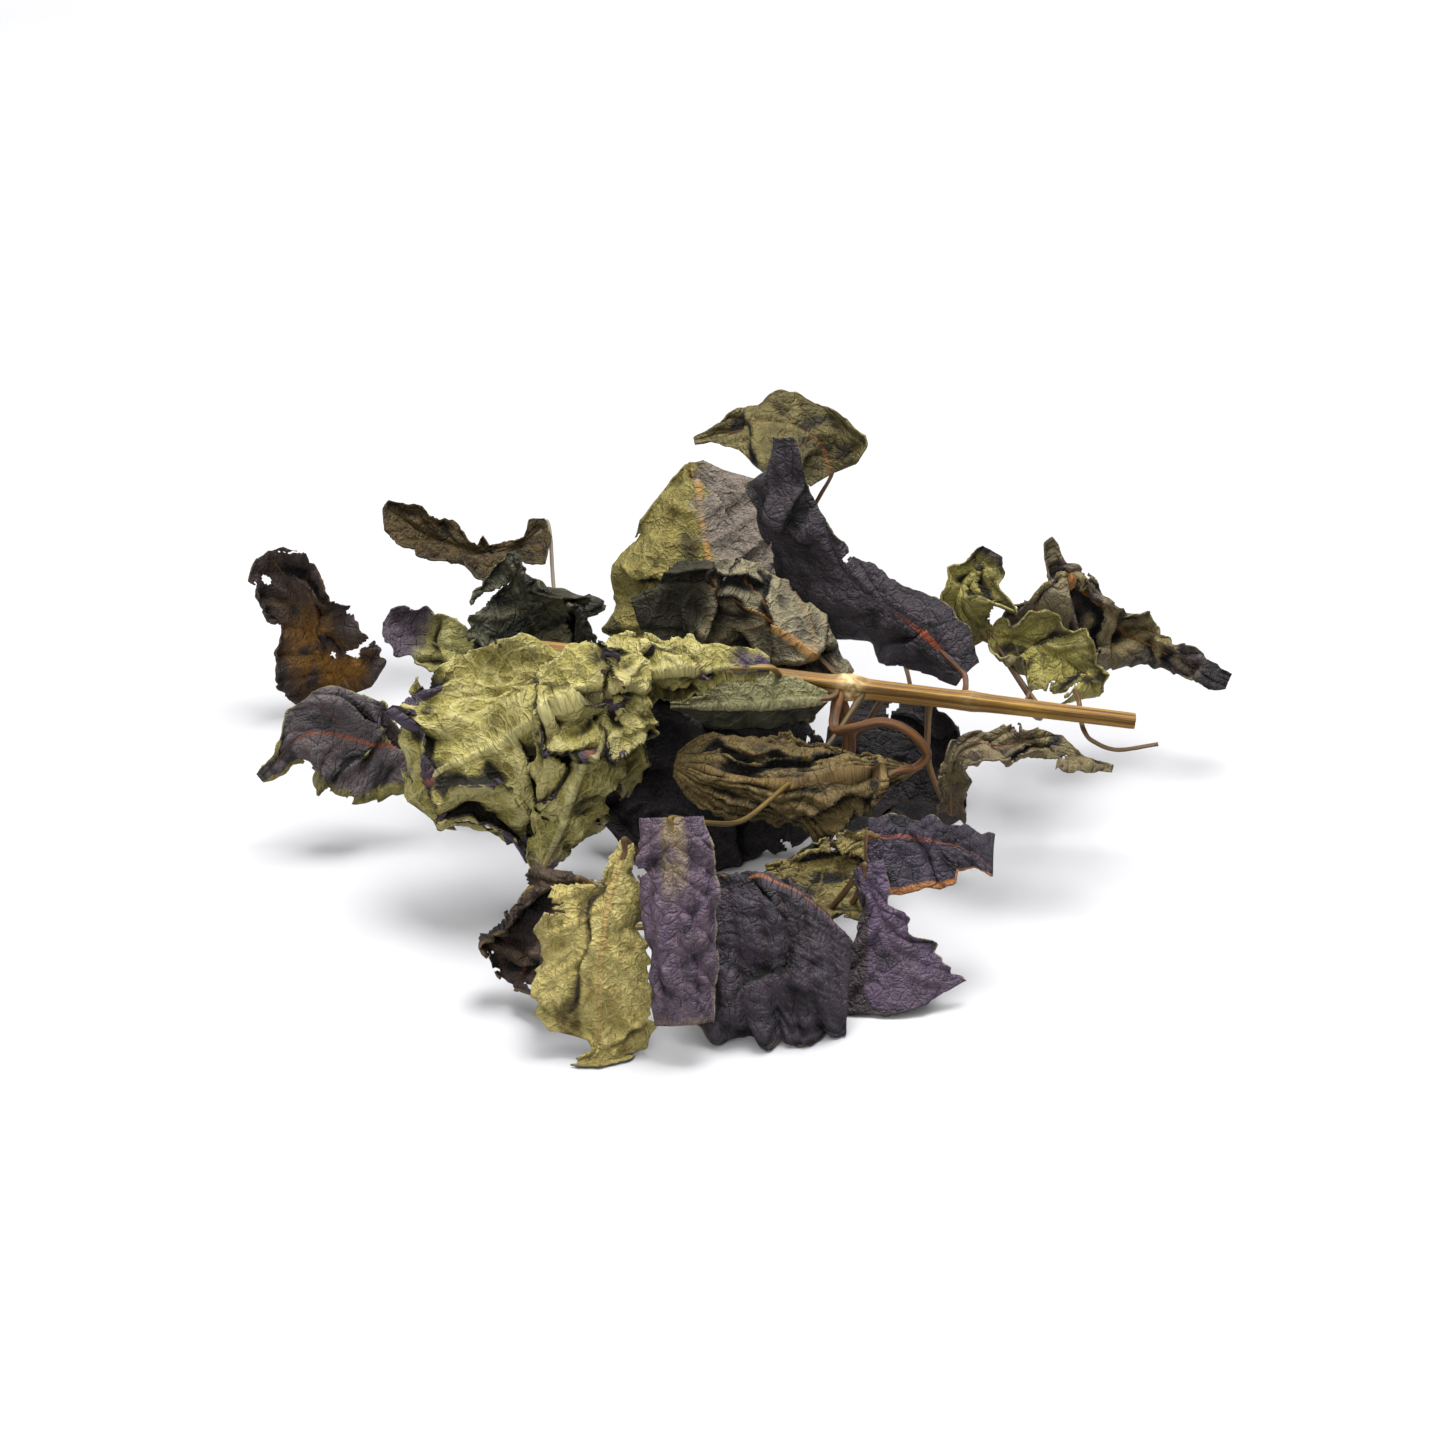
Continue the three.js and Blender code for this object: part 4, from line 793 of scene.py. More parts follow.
def fold_over(leaf, g):
    """Folds the blade: it rises to a lip that hangs over the part beyond it, which dips. Gives back how far
    each corner is raised, and how much it hides under a lip, which sets painted shade there and a painted
    highlight on the lip's crest."""
    raised, lip_shade_and_highlight = np.zeros(g.shape), np.zeros(g.shape)
    room = MARGIN_FOLD + (1 - MARGIN_FOLD) * smooth(0, FOLD_MARGIN, g.width - np.abs(g.across))
    room = room * smooth(0, FOLD_ENDS, g.along) * smooth(0, FOLD_ENDS, g.length - g.along)
    stray_run = 0.8 * spots(g, 3, 20)
    stray_past = 1.1 * spots(g, 4, 21)
    for along, across, heading, height, span, behind in lips_of(leaf, g):
        c, s = math.cos(math.radians(heading)), math.sin(math.radians(heading))
        # How far a corner lies along the lip's line, and how far past it on the side that it hangs over
        run = (g.along - along) * c + (g.across - across) * s + stray_run
        past = (g.across - across) * c - (g.along - along) * s + stray_past
        fade = height * np.exp(-((run / span) ** 4)) * room
        back = np.exp(np.minimum(past, 0) / behind)
        ahead = np.maximum(past, 0)
        rise = fade * np.where(past < 0, back, 1.55 * bell(ahead, 0.45) - 0.55 * np.exp(-ahead / behind))
        slide = OVERHANG * np.abs(fade) * np.where(past < 0, back, bell(ahead, 0.22))
        # Painted shade just past a lip, where the blade lies under it, less a painted highlight on the lip's
        # crest
        under = bell(past - 0.62, 0.64) - 0.5 * bell(past + 0.45, 0.45)
        lip_shade_and_highlight += np.sign(height) * np.minimum(1, np.abs(fade)) * under
        raised += rise
        g.points = g.points + g.normal * rise[..., None]
        g.points = g.points + (g.leftward * c - g.forward[:, None] * s) * slide[..., None]
    return raised, lip_shade_and_highlight


def kept_quads(leaf, g):
    """The quads that holes, notches and tears leave of a blade."""
    along, across, width = ((x[:-1, :-1] + x[1:, 1:]) / 2 for x in (g.along, g.across, g.width))
    keep = np.ones(along.shape, bool)
    for k, (ha, hc, radius) in enumerate(leaf["holes"]):
        ragged = 0.45 * radius * noise(along / radius, across / radius, g.seed + 30 + k)
        keep &= np.hypot(along - ha, across - hc) + ragged > radius
    draw = random_from(g.seed + 50)
    inward = width - np.abs(across)
    cuts = list(leaf["notches"])
    for _ in range(leaf["tears"]):
        at = g.length * (0.1 + 0.88 * draw())
        side = 1 if draw() < 0.5 else -1
        depth = 1.0 + leaf["tear_depth"] * draw() ** 2
        cuts.append((at, side, depth, 0.2 + 0.7 * draw(), 1.6 * draw() - 0.5))
    ragged = 0.35 * noise(along / 2.5, across / 0.9, g.seed + 60)
    for at, side, depth, opening, slant in cuts:
        off = np.abs(along - at - slant * inward + ragged)
        cut = (off < opening * (1 - inward / depth)) & (inward < depth) & (np.sign(across) == side)
        keep &= ~(cut & (np.abs(across) > WHOLE_MIDDLE) & (width > TORN_WIDTH))
    return keep if keep.all() else largest_patch(keep)


def blade(build, leaf):
    """The blade of a leaf as a fine closed shell; gives back points along the base of its midrib."""
    g = grid_of(leaf)
    fine, small = crinkle(leaf, g)
    ends = np.minimum(np.minimum(1, 6 * g.u), 6 * (1 - g.u) + 0.3)
    g.points = g.points + g.normal * ((crumple(leaf, g) + fine) * ends)[..., None]
    raised, lip_shade_and_highlight = fold_over(leaf, g)
    hang, power = leaf["droop"]
    g.points[..., 2] = above_floor(g.points[..., 2] - hang * g.u**power)

    facing = unit(np.cross(np.gradient(g.points, axis=0), np.gradient(g.points, axis=1)))
    rib_half = leaf["rib_width"] * (0.12 + 0.2 * (1 - g.u)) * np.clip(g.width / 5, 0.12, 1)
    off_rib = np.abs(g.across) / rib_half
    ribbing = rib_half * smooth(1.7, 0.4, off_rib)
    veining = VEIN_HEIGHT * smooth(0.35, 0.08, g.beside) * (1 - 0.6 * g.reach)
    above = FINE_THICKNESS / 2 + 0.2 * ribbing
    below = FINE_THICKNESS / 2 + 1.1 * ribbing + veining
    place = fill(g.shape, g.along, g.across, g.seed * 11.0 + raised)
    traits = fill(g.shape, g.veins, g.reach, 1.0)
    # The third part of rib sets the colours' painted shade in the creases' hollows and under lips, and a
    # painted highlight on their crests
    rib = fill(g.shape, off_rib, g.spacing, np.clip(2.4 * small - 2.2 * lip_shade_and_highlight, -1.4, 1.2))
    shell(build, g, facing, above, below, kept_quads(leaf, g), place, traits, rib)
    return [tuple(g.points[int((g.shape[0] - 1) * share), g.columns]) for share in (0, 0.06, 0.14)]


def leaf_piece(leaf, looks):
    build = Build()
    path = leaf["stalk"] + blade(build, leaf)
    t = np.linspace(0, 1, max(8, int(length_of(path) / STALK_STEP)))
    # A stalk is thick where it leaves the stem and thin where it runs into the midrib
    radius = leaf["stalk_size"] * STALK_RADIUS * (1.05 - 0.25 * t)
    radius = radius * (1 - 0.55 * smooth(0.86, 1.0, t)) * (1 + 0.35 * smooth(0.1, 0, t))
    rod(build, curve(path, t), radius, STALK_SIDES, leaf["seed"], STALK_MAP)
    if leaf["spur"]:
        t = np.linspace(0, 1, int(length_of(leaf["spur"]) / STALK_STEP))
        radius = SPUR_RADIUS * (1.1 - 0.3 * t)
        rod(build, curve(leaf["spur"], t), radius, STALK_SIDES, leaf["seed"] + 1, SPUR_MAP)
    made = build.piece("fine_" + leaf["name"], [looks[leaf["look"]], looks[leaf["stalk_look"]]])
    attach(made, "root")
    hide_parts(leaf["name"])


# Stem

def stem_end(build, outer, centre, inward, turn, flip, map_at):
    """One end of the stem: rings that step inwards to a pale, sunken pith."""
    shares, depth = np.array(PITH).T
    cap = centre + (outer - centre)[None] * shares[:, None, None] + inward * depth[:, None, None]
    last = np.arange((len(shares) - 1) * STEM_SIDES, len(shares) * STEM_SIDES)
    caps = np.vstack([band(len(shares), STEM_SIDES), lid(last)])
    caps = caps[:, ::-1] if flip else caps
    share, angle = np.repeat(shares, STEM_SIDES), np.tile(turn, len(shares))
    place = fill(share.shape, share * STEM_WIDTH / 2, angle, 5.0)
    traits = fill(share.shape, 0.0, 0.0, 1.2 - share)
    flat = np.stack([0.5 + 0.45 * share * np.cos(angle), 0.5 + 0.45 * share * np.sin(angle)], -1)
    maps = flat[caps] * STEM_END_SIZE + np.array(map_at)
    build.add(cap, caps, place, traits, np.zeros(place.shape), 0, maps)


def stem_piece(looks):
    build = Build()
    n = int(length_of(STEM) / STEM_STEP)
    t = np.linspace(0, 1, n)
    line = curve(STEM, t)
    forward = tangents(STEM, t)
    side = unit(np.cross(forward, (0, 0, 1)))
    turn = np.arange(STEM_SIDES) * TURN / STEM_SIDES
    along = (t * length_of(STEM))[:, None]
    # A square with rounded edges, a groove along each face and fine ribs
    square = (np.abs(np.cos(turn)) ** SQUARENESS + np.abs(np.sin(turn)) ** SQUARENESS) ** (-1 / SQUARENESS)
    quarter = math.pi / 2
    groove = bell(np.abs((turn / quarter + 0.5) % 1 - 0.5) * quarter, GROOVE_WIDTH)
    fibres = np.zeros((n, STEM_SIDES))
    for k, (size, height) in enumerate(STEM_FIBRES):
        fibres += height * noise(turn * (STEM_WIDTH / 2) / size + along * 0.012, along / 26 + k * 9, 70 + k)
    taper = (0.9 - 0.2 * smooth(0.45, 1.0, t))[:, None]
    r = (STEM_WIDTH / 2 * square * 0.98 - STEM_GROOVE * groove + fibres) * taper
    pale = np.zeros((n, STEM_SIDES))
    for k, (share, swelling, paleness) in enumerate(STEM_NODES):
        off = along - share * along[-1]
        swell = bell(off, NODE_LENGTH) * (1 + 0.5 * noise(turn * 1.3, off / 0.8, 80 + k))
        r = r + (NODE_RADIUS - STEM_WIDTH / 2) * swell * swelling
        pale = pale + swell * paleness
    r[-1] *= CUT_END
    ring = rings(line, side, np.cross(side, forward), r, turn)
    quads = band(n, STEM_SIDES)[:, ::-1]
    place = fill(r.shape, along, turn * STEM_WIDTH / 2, 0.0)
    # groove sets the painted shade in the stem's grooves, and pale its paler nodes
    traits = fill(r.shape, groove, pale, 0.0)
    maps = band_maps(n, STEM_SIDES, *STEM_MAP)[:, :, ::-1]
    build.add(ring, quads, place, traits, np.zeros(place.shape), 0, maps)
    stem_end(build, ring[0], line[0], forward[0], turn, False, STEM_END_MAPS[0])
    stem_end(build, ring[-1], line[-1], -forward[-1], turn, True, STEM_END_MAPS[1])

    t = np.linspace(0, 1, int(length_of(SHOOT) / STALK_STEP))
    radius = SHOOT_RADIUS * (1.1 - 0.3 * t) * (1 - 0.5 * smooth(0.97, 1, t))
    for share in SHOOT_KNOTS:
        radius = radius * (1 + KNOT_HEIGHT * bell(t - share, KNOT_LENGTH))
    rod(build, curve(SHOOT, t), radius, SHOOT_SIDES, SHOOT_SEED, SHOOT_MAP)
    made = build.piece("fine_stem", [looks["straw_stem"], looks["stalk_red"]])
    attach(made, "root")
    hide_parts("stem")


# Materials

def colour(parts, tone=1.0):
    """Linear colour of an sRGB one with parts from 0 to 255, darkened by tone."""
    shares = [part / 255 for part in parts]
    return [tone * (c / 12.92 if c <= 0.04045 else ((c + 0.055) / 1.055) ** 2.4) for c in shares] + [1]


def dried(parts, tone=1.0):
    """A blade's or a stem's colour, as strong and as dark as it is on the dried plant."""
    grey = sum(parts) / 3
    return colour([max(0, grey + RICHNESS * (part - grey)) for part in parts], tone * TONE)


class Nodes:
    """Short ways to make and join shader nodes."""

    def __init__(self, name):
        self.material = bpy.data.materials.new(name)
        self.material.use_nodes = True
        self.tree = self.material.node_tree
        self.tree.nodes.clear()

    def node(self, kind, inputs, output=0, **settings):
        """Adds a node, sets or joins its inputs and gives back one of its outputs."""
        made = self.tree.nodes.new(kind)
        for key, value in settings.items():
            setattr(made, key, value)
        for key, value in inputs.items():
            if isinstance(value, bpy.types.NodeSocket):
                self.tree.links.new(value, made.inputs[key])
            else:
                made.inputs[key].default_value = value
        return made.outputs[output]

    def math(self, operation, a, b=0.0, clamp=False):
        return self.node("ShaderNodeMath", {0: a, 1: b}, operation=operation, use_clamp=clamp)

    def times(self, a, b, clamp=False):
        return self.math("MULTIPLY", a, b, clamp)

    def plus(self, a, b, clamp=False):
        return self.math("ADD", a, b, clamp)

    def smooth(self, low, high, value):
        inputs = {"Value": value, "From Min": min(low, high), "From Max": max(low, high)}
        inputs.update({"To Min": float(low >= high), "To Max": float(low < high)})
        return self.node("ShaderNodeMapRange", inputs, "Result", interpolation_type="SMOOTHSTEP")

    def mix(self, share, a, b):
        inputs = {"Factor": share, "A": a, "B": b}
        return self.node("ShaderNodeMix", inputs, "Result", data_type="RGBA", clamp_factor=True)

    def attribute(self, name):
        return self.node("ShaderNodeAttribute", {}, "Vector", attribute_name=name)

    def parts(self, vector):
        return self.node("ShaderNodeSeparateXYZ", {0: vector}).node.outputs

    def scaled(self, vector, *factors):
        return self.node("ShaderNodeVectorMath", {0: vector, 1: factors}, operation="MULTIPLY")

    def noise(self, vector, scale, detail=3.0, rough=0.55, output="Fac"):
        inputs = {"Vector": vector, "Scale": scale, "Detail": detail, "Roughness": rough}
        return self.node("ShaderNodeTexNoise", inputs, output)

    def cells(self, vector, scale):
        inputs = {"Vector": vector, "Scale": scale}
        return self.node("ShaderNodeTexVoronoi", inputs, "Distance", feature="DISTANCE_TO_EDGE")

    def surface(self, base, roughness, height, strength, distance, shine):
        bump = {"Strength": strength, "Distance": distance, "Height": height}
        look = {"Base Color": base, "Roughness": roughness, "Specular IOR Level": shine}
        look["Normal"] = self.node("ShaderNodeBump", bump, "Normal")
        shader = self.node("ShaderNodeBsdfPrincipled", look, "BSDF")
        out = self.tree.nodes.new("ShaderNodeOutputMaterial")
        self.tree.links.new(shader, out.inputs["Surface"])
        return self.material


def leaf_look(name, upper, under, vein=(150, 92, 56), under_vein=None, veining=0.5, streaks=0.0,
              patches=0.5, middle=None, tip=None, left=None, rim=None, keel=None, keel_length=None,
              shine=0.3, rough=0.62):
    """A dried blade. upper and under are (main, patch, dark, pale) colours. veining is how much the side
    veins show, keel how much the midrib does, up to keel_length if that is given, and streaks how much the
    colour runs along the blade. middle is (colour, reach, length) near the base, tip is (from, colour), left
    (colour, blur) for the left half and rim (side, from, colour) that of a margin."""
    n = Nodes("dried_" + name + "_blade")
    place = n.attribute("place")
    traits = n.parts(n.attribute("traits"))
    rib = n.parts(n.attribute("rib"))
    spot = n.parts(place)

    wander = {0: n.noise(place, 0.5, 2, output="Color"), 1: (1.1, 1.1, 0), 2: place}
    bent = n.node("ShaderNodeVectorMath", wander, operation="MULTIPLY_ADD")
    broad = n.smooth(0.5 - 0.16 * patches, 0.5 + 0.28 * patches, n.noise(place, 0.13, 4, 0.6))
    mottle = n.smooth(0.44, 0.7, n.noise(bent, 0.75, 6, 0.7))
    grain = n.noise(place, 3.4, 4, 0.7)
    net = n.smooth(0.13, 0.02, n.cells(bent, 0.62))
    fine_net = n.smooth(0.16, 0.02, n.cells(bent, 1.75))
    beside = n.math("ABSOLUTE", n.math("SUBTRACT", n.math("FRACT", n.plus(traits[0], 50.5)), 0.5))
    beside = n.times(beside, rib[1])
    lateral = n.times(n.smooth(0.24, 0.07, beside), n.smooth(1.0, 0.3, traits[1]))
    midrib = n.smooth(1.25, 0.75, rib[0])
    if keel_length:
        midrib = n.times(midrib, n.smooth(keel_length, 0.4 * keel_length, spot[0]))
    is_upper = n.smooth(-0.2, 0.2, traits[2])
    # Painted light from the crumpling: painted shade in hollows, a painted highlight on crests and a
    # near-black painted shadow in the cracks under lips
    crease_shading = n.times(rib[2], traits[2])
    painted_hollow_shade = n.smooth(0.0, -0.75, crease_shading)
    ridge = n.smooth(0.15, 0.9, crease_shading)
    painted_crack_shadow = n.smooth(-0.8, -1.25, crease_shading)
    stray = n.noise(place, 0.3, 3)
    streak = n.smooth(0.4, 0.68, n.noise(n.scaled(bent, 0.16, 1.5, 1), 1.0, 4, 0.6)) if streaks else None

    def side(colours, vein_colour, network):
        main, patch, deep, pale = colours
        dark, pale = dried(deep, 0.6), dried(pale)
        base = n.mix(broad, dried(main), dried(patch))
        if streaks:
            base = n.mix(n.times(streak, streaks), base, pale)
        # Three of these layers are painted light: a painted highlight on crests, painted shade in hollows
        # and a painted shadow under lips; the rest are the blade's own mottle, grain and veins
        layers = ((mottle, 0.55, dark), (fine_net, 0.28 * network, pale), (net, 0.36 * network, pale),
                  (ridge, 0.5, pale), (painted_hollow_shade, 0.9, dark), (painted_crack_shadow, 0.92, dried(deep, 0.08)),
                  (n.smooth(0.56, 0.8, grain), 0.5, dark), (lateral, veining, vein_colour),
                  (midrib, keel if keel else min(1, veining + 0.3), vein_colour))
        for share, strength, tint in layers:
            base = n.mix(n.times(share, strength), base, tint)
        return base

    under_side = side(under, dried(under_vein or vein), 0.75)
    base = n.mix(is_upper, under_side, side(upper, dried(vein), 0.45))
    # A painted highlight along the margins, where light catches the blade's edge
    torn = n.times(n.smooth(0.95, 0.99, traits[1]), n.smooth(0.35, 0.6, n.noise(place, 0.8, 2)))
    base = n.mix(n.times(torn, 0.6), base, dried(under[3]))
    # Darker with the mottling and with the painted shade in the hollows
    darker = n.plus(n.times(mottle, 0.5), n.times(painted_hollow_shade, 0.4), clamp=True)

    def area(share, tint):
        """A colour over part of the blade, as uneven as the rest of it: darker with its mottling and with
        its painted shade in hollows.
        """
        return n.mix(share, base, n.mix(darker, dried(tint), dried(tint, 0.25)))

    if left:
        tint, blur = left
        drift = n.times(n.math("SUBTRACT", stray, 0.5), blur)
        base = area(n.smooth(-0.3 - 0.1 * blur, 0.3 + 0.1 * blur, n.plus(spot[1], drift)), tint)
    if middle:
        tint, far, late = middle
        inner = n.times(n.smooth(far, 0.35 * far, traits[1]), n.smooth(late, 0.4 * late, spot[0]))
        base = area(n.times(inner, n.smooth(0.35, 0.55, stray)), tint)
    if tip:
        start, tint = tip
        base = area(n.smooth(start - 1, start + 1, n.plus(spot[0], n.times(stray, 3))), tint)
    if rim:
        which, start, tint = rim
        far = n.times(traits[1], n.smooth(-0.2, 0.2, n.times(spot[1], which)))
        base = area(n.smooth(start - 0.04, start + 0.04, n.plus(far, n.times(stray, 0.2))), tint)
    cut = n.plus(net, n.times(fine_net, 0.6))
    height = n.math("SUBTRACT", n.noise(bent, 1.6, 5, 0.65), n.times(cut, n.times(traits[2], 0.35)))
    height = n.plus(height, n.times(grain, 0.35))
    return n.surface(base, n.plus(n.times(mottle, 0.16), rough), height, 1.0, 0.0006, shine)


def rod_look(name, main, light, dark, knots=None, pith=None):
    """A stem or a stalk with fibres along it, and with pale knots and pith if it has any."""
    n = Nodes(name)
    place = n.attribute("place")
    traits = n.parts(n.attribute("traits"))
    fibres = n.noise(n.scaled(place, 0.06, 4.2, 1), 1.0, 5, 0.6)
    broad = n.noise(n.scaled(place, 0.14, 0.5, 1), 1.0, 3)
    grain = n.noise(n.scaled(place, 1.2, 5, 1), 1.0, 3)
    base = n.mix(n.smooth(0.36, 0.64, fibres), dried(dark), dried(main))
    base = n.mix(n.times(n.smooth(0.45, 0.75, broad), 0.6), base, dried(light))
    base = n.mix(n.times(n.smooth(0.6, 0.8, grain), 0.5), base, dried(dark))
    # Painted shade in the stem's grooves: darker where they are deepest
    base = n.mix(n.times(traits[0], 0.62), base, dried(dark))
    if knots:
        knot = n.times(traits[1], n.smooth(0.3, 0.6, n.noise(place, 1.1, 3)), clamp=True)
        base = n.mix(knot, base, dried(knots))
        base = n.mix(n.smooth(0.3, 0.9, traits[2]), base, dried(pith))
    height = n.plus(fibres, n.times(grain, 0.4))
    return n.surface(base, 0.55, height, 0.6, 0.00025, 0.35)


# Colours of a blade's side that several looks share
PURPLE = ((98, 82, 106), (84, 70, 88), (56, 46, 60), (124, 108, 120))
TAN_UNDERSIDE = ((150, 140, 100), (126, 114, 92), (84, 74, 62), (176, 166, 124))
OLIVE_UNDERSIDE = ((126, 118, 84), (104, 96, 74), (64, 58, 48), (150, 142, 104))
GREY = ((104, 96, 102), (92, 84, 80), (60, 55, 54), (128, 120, 112))
BROWN = ((58, 48, 28), (70, 58, 33), (26, 21, 14), (92, 77, 46))

LEAF_LOOKS = {
    "green": dict(
        upper=((72, 62, 76), (60, 54, 62), (40, 36, 42), (96, 86, 98)),
        under=((164, 155, 91), (136, 127, 65), (62, 55, 27), (224, 215, 162)), under_vein=(204, 196, 148),
        veining=0.2, middle=((84, 70, 96), 1.0, 6)),
    "olive": dict(
        upper=PURPLE, under=((192, 179, 120), (176, 162, 104), (126, 112, 68), (212, 200, 146)),
        under_vein=(170, 146, 96), veining=0.4),
    "folded_purple": dict(
        upper=PURPLE, under=TAN_UNDERSIDE, vein=(128, 96, 92), veining=0.08, keel=0.15,
        rim=(-1, 0.62, (62, 51, 54)), shine=0.4, rough=0.52),
    "purple_tan": dict(
        upper=((102, 86, 106), (88, 74, 89), (52, 43, 54), (136, 118, 125)), under=TAN_UNDERSIDE,
        vein=(128, 110, 112), veining=0.05, middle=((154, 138, 112), 0.42, 11), tip=(24.6, (132, 115, 106)),
        shine=0.4, rough=0.52),
    "purple_edged": dict(
        upper=((50, 44, 57), (43, 37, 48), (26, 22, 29), (78, 68, 80)), under=TAN_UNDERSIDE,
        vein=(140, 84, 64), veining=0.04, keel=0.55, rim=(-1, 0.98, (164, 116, 72)), shine=0.4, rough=0.52),
    "dark": dict(
        upper=((54, 49, 54), (62, 56, 62), (32, 28, 32), (80, 72, 78)), under=OLIVE_UNDERSIDE,
        vein=(160, 88, 52), veining=0.04, keel=0.7, keel_length=13, shine=0.35, rough=0.56),
    # Leaves coloured near black inside the heap, partly as painted shade for its shaded middle
    "deep_dark": dict(
        upper=((36, 32, 34), (42, 38, 39), (22, 20, 21), (56, 50, 51)),
        under=((60, 55, 46), (50, 46, 40), (32, 29, 26), (80, 74, 58)), vein=(70, 56, 48), veining=0.1),
    "ribbed": dict(
        upper=((57, 51, 60), (50, 45, 50), (30, 26, 30), (82, 73, 82)), under=OLIVE_UNDERSIDE,
        vein=(162, 104, 60), veining=0.05, keel=0.5, shine=0.35, rough=0.56),
    "dark_grey": dict(
        upper=((94, 86, 88), (80, 73, 77), (44, 39, 41), (122, 113, 112)),
        under=((140, 134, 86), (112, 104, 74), (70, 64, 48), (164, 158, 108)), vein=(146, 90, 64),
        veining=0.22, keel=0.7, rim=(1, 0.72, (150, 142, 92))),
    "dark_green": dict(
        upper=((47, 47, 35), (62, 61, 45), (24, 24, 19), (104, 101, 75)),
        under=((58, 57, 42), (46, 45, 35), (27, 26, 21), (104, 100, 74)), vein=(112, 100, 70), veining=0.3,
        rough=0.5, shine=0.4),
    "grey": dict(
        upper=GREY, under=((140, 133, 111), (90, 84, 75), (44, 40, 34), (172, 163, 134)),
        vein=(180, 132, 64), veining=0.22, middle=((46, 41, 40), 1.2, 6), tip=(22.5, (58, 55, 42))),
    "olive_and_grey": dict(
        upper=GREY, under=((144, 134, 80), (128, 119, 72), (78, 71, 44), (170, 160, 104)),
        vein=(186, 132, 66), veining=0.06, keel=0.45, patches=0.35, left=((138, 128, 118), 9)),
    # Painted light and shade: the left half, which faces up, has a lighter colour and the underside a darker
    # one, as if lit from above
    "folded": dict(
        upper=((112, 110, 84), (92, 90, 70), (56, 55, 44), (142, 140, 108)),
        under=((90, 88, 68), (80, 79, 61), (52, 51, 40), (118, 116, 90)), vein=(196, 190, 152), veining=0.14,
        keel=0.9, patches=0.3, left=((156, 152, 116), 0)),
    "brown": dict(
        upper=BROWN, under=BROWN, vein=(104, 84, 50), veining=0.06, streaks=0.35, rough=0.58),
    "pleated": dict(
        upper=((63, 54, 36), (78, 68, 45), (28, 24, 17), (130, 113, 76)),
        under=((71, 60, 36), (86, 73, 43), (32, 27, 18), (112, 95, 57)), vein=(120, 96, 58), veining=0.08,
        streaks=0.8, rough=0.58),
    "dark_brown": dict(
        upper=((52, 43, 42), (66, 54, 44), (28, 23, 24), (94, 80, 62)),
        under=((72, 60, 46), (54, 44, 42), (32, 26, 25), (108, 90, 64)), veining=0.1),
    "tan": dict(
        upper=((112, 100, 84), (122, 113, 82), (64, 56, 51), (152, 139, 108)),
        under=((108, 95, 84), (120, 110, 78), (60, 52, 48), (148, 134, 104)), veining=0.15),
    "moss": dict(
        upper=((112, 102, 66), (90, 82, 54), (48, 43, 32), (150, 138, 92)),
        under=((120, 110, 72), (92, 84, 56), (52, 47, 34), (160, 150, 104)), vein=(140, 124, 78),
        veining=0.4, streaks=0.4),
    "light_moss": dict(
        upper=((166, 158, 94), (134, 126, 80), (74, 66, 60), (190, 182, 122)),
        under=((120, 108, 100), (150, 142, 88), (70, 62, 58), (176, 168, 116)), veining=0.4,
        under_vein=(180, 168, 110), vein=(186, 176, 118)),
    "tipped_moss": dict(
        upper=((158, 150, 90), (132, 124, 78), (74, 66, 54), (188, 180, 122)),
        under=((140, 130, 84), (150, 142, 88), (70, 62, 54), (176, 168, 116)), veining=0.2,
        vein=(186, 176, 118), tip=(13.2, (44, 39, 42))),
    "mixed_grey": dict(
        upper=((84, 75, 78), (118, 108, 74), (46, 40, 43), (150, 138, 106)),
        under=((112, 104, 74), (86, 77, 79), (50, 45, 42), (140, 131, 94)), vein=(170, 120, 66),
        veining=0.25, tip=(31.5, (40, 36, 38))),
    "olive_brown": dict(
        upper=((106, 98, 65), (86, 78, 53), (52, 46, 35), (148, 138, 96)),
        under=((118, 109, 72), (94, 85, 57), (54, 48, 35), (146, 136, 95)), veining=0.1),
    # The amber near the base is painted light: it stands in for light showing through the thin blade
    "amber": dict(
        upper=((58, 48, 46), (48, 40, 40), (34, 29, 29), (86, 72, 62)),
        under=((70, 58, 48), (56, 46, 42), (38, 32, 30), (96, 80, 60)), veining=0.3, vein=(110, 84, 44),
        middle=((128, 94, 38), 0.95, 18)),
    "half": dict(
        upper=((166, 160, 104), (144, 138, 88), (98, 92, 62), (190, 184, 136)),
        under=((150, 144, 98), (128, 122, 84), (84, 78, 58), (176, 170, 124)), veining=0.4,
        vein=(180, 172, 120), tip=(8.5, (98, 88, 96))),
}
ROD_LOOKS = {  # main, light and dark colours, and those of knots and pith
    "straw_stem": ((156, 122, 57), (180, 147, 77), (92, 67, 31), (222, 202, 160), (206, 186, 140)),
    "stalk_brown": ((112, 88, 58), (140, 112, 72), (66, 50, 36)),
    "stalk_tan": ((152, 130, 80), (178, 156, 104), (100, 82, 48)),
    "stalk_red": ((116, 80, 46), (146, 107, 64), (62, 42, 27)),
    "stalk_olive": ((112, 93, 48), (140, 121, 70), (66, 53, 29)),
    "stalk_grey": ((150, 140, 124), (172, 162, 144), (104, 96, 84)),
}


# Stage

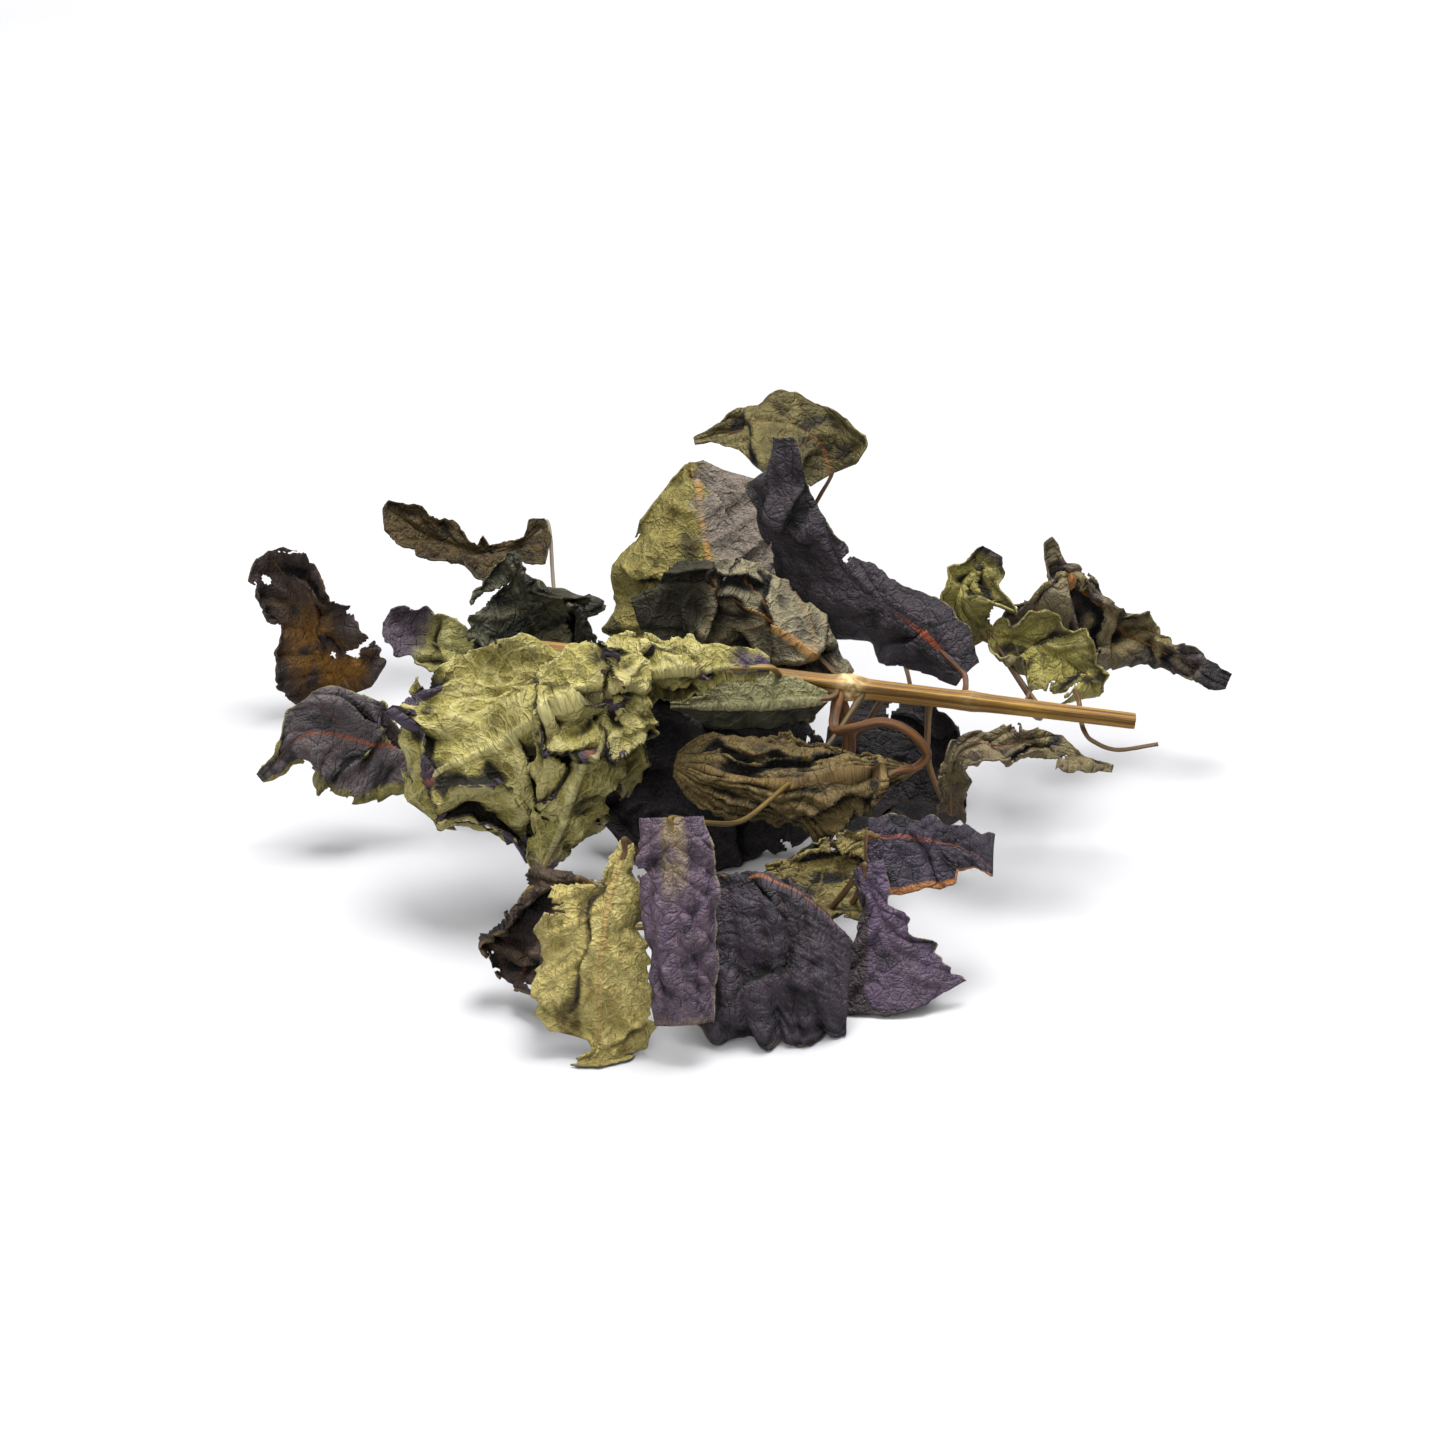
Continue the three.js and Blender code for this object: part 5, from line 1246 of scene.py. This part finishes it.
FLOOR = (170, 170, 172)
FLOOR_SPECKS = (166, 166, 168)
FRAME_WIDTH = 0.1728  # of the image at the sprig, in metres
CAMERA_FAR = 0.58
CAMERA_TILT = math.radians(30)
SENSOR = 36
CENTRE = Vector((-0.0023, 0.0014, 0.017))
LIT_POINT = Vector((0, 0, 0.015))
SOFTBOXES = (  # name, place, width and watts
    ("overhead", (0.0, 0.1, 2.0), 2.6, 62.0),
    ("key", (0.1, 0.16, 0.8), 0.4, 9.5),
    ("fill", (-0.3, -0.8, 0.5), 0.6, 5.5),
)


def lay_floor():
    n = Nodes("pale_floor")
    place = n.node("ShaderNodeTexCoord", {}, "Object")
    speck = n.smooth(0.35, 0.65, n.noise(place, 60, 4))
    base = n.mix(n.times(speck, 0.3), colour(FLOOR), colour(FLOOR_SPECKS))
    bpy.ops.mesh.primitive_plane_add(size=8)
    floor = bpy.context.object
    floor.name = "floor"
    floor.data.materials.append(n.surface(base, 0.6, n.noise(place, 900, 3), 0.05, 0.0001, 0.2))


def place_object(name, data, at, towards):
    made = bpy.data.objects.new(name, data)
    bpy.context.scene.collection.objects.link(made)
    made.location = at
    made.rotation_euler = towards.to_track_quat("-Z", "Y").to_euler()
    return made


def set_lights():
    world = bpy.data.worlds.new("studio")
    bpy.context.scene.world = world
    world.use_nodes = True
    background = world.node_tree.nodes["Background"]
    background.inputs["Color"].default_value = (1.0, 1.0, 1.0, 1)
    background.inputs["Strength"].default_value = 0.12
    for name, at, size, watts in SOFTBOXES:
        data = bpy.data.lights.new(name, "AREA")
        data.shape = "DISK"
        data.size = size
        data.energy = watts
        place_object(name, data, at, LIT_POINT - Vector(at))


def set_camera():
    data = bpy.data.cameras.new("camera")
    back = Vector((0, -math.cos(CAMERA_TILT), math.sin(CAMERA_TILT)))
    bpy.context.scene.camera = place_object("camera", data, CENTRE + back * CAMERA_FAR, -back)
    data.sensor_width = SENSOR
    data.lens = SENSOR * CAMERA_FAR / FRAME_WIDTH
    data.clip_start = 0.01
    data.clip_end = 50
    bpy.context.scene.view_settings.view_transform = "Standard"


looks = {name: leaf_look(name, **look) for name, look in LEAF_LOOKS.items()}
looks.update({name: rod_look(name, *colours) for name, colours in ROD_LOOKS.items()})
stem_piece(looks)
for one in LEAVES:
    leaf_piece(one, looks)
lay_floor()
set_lights()
set_camera()
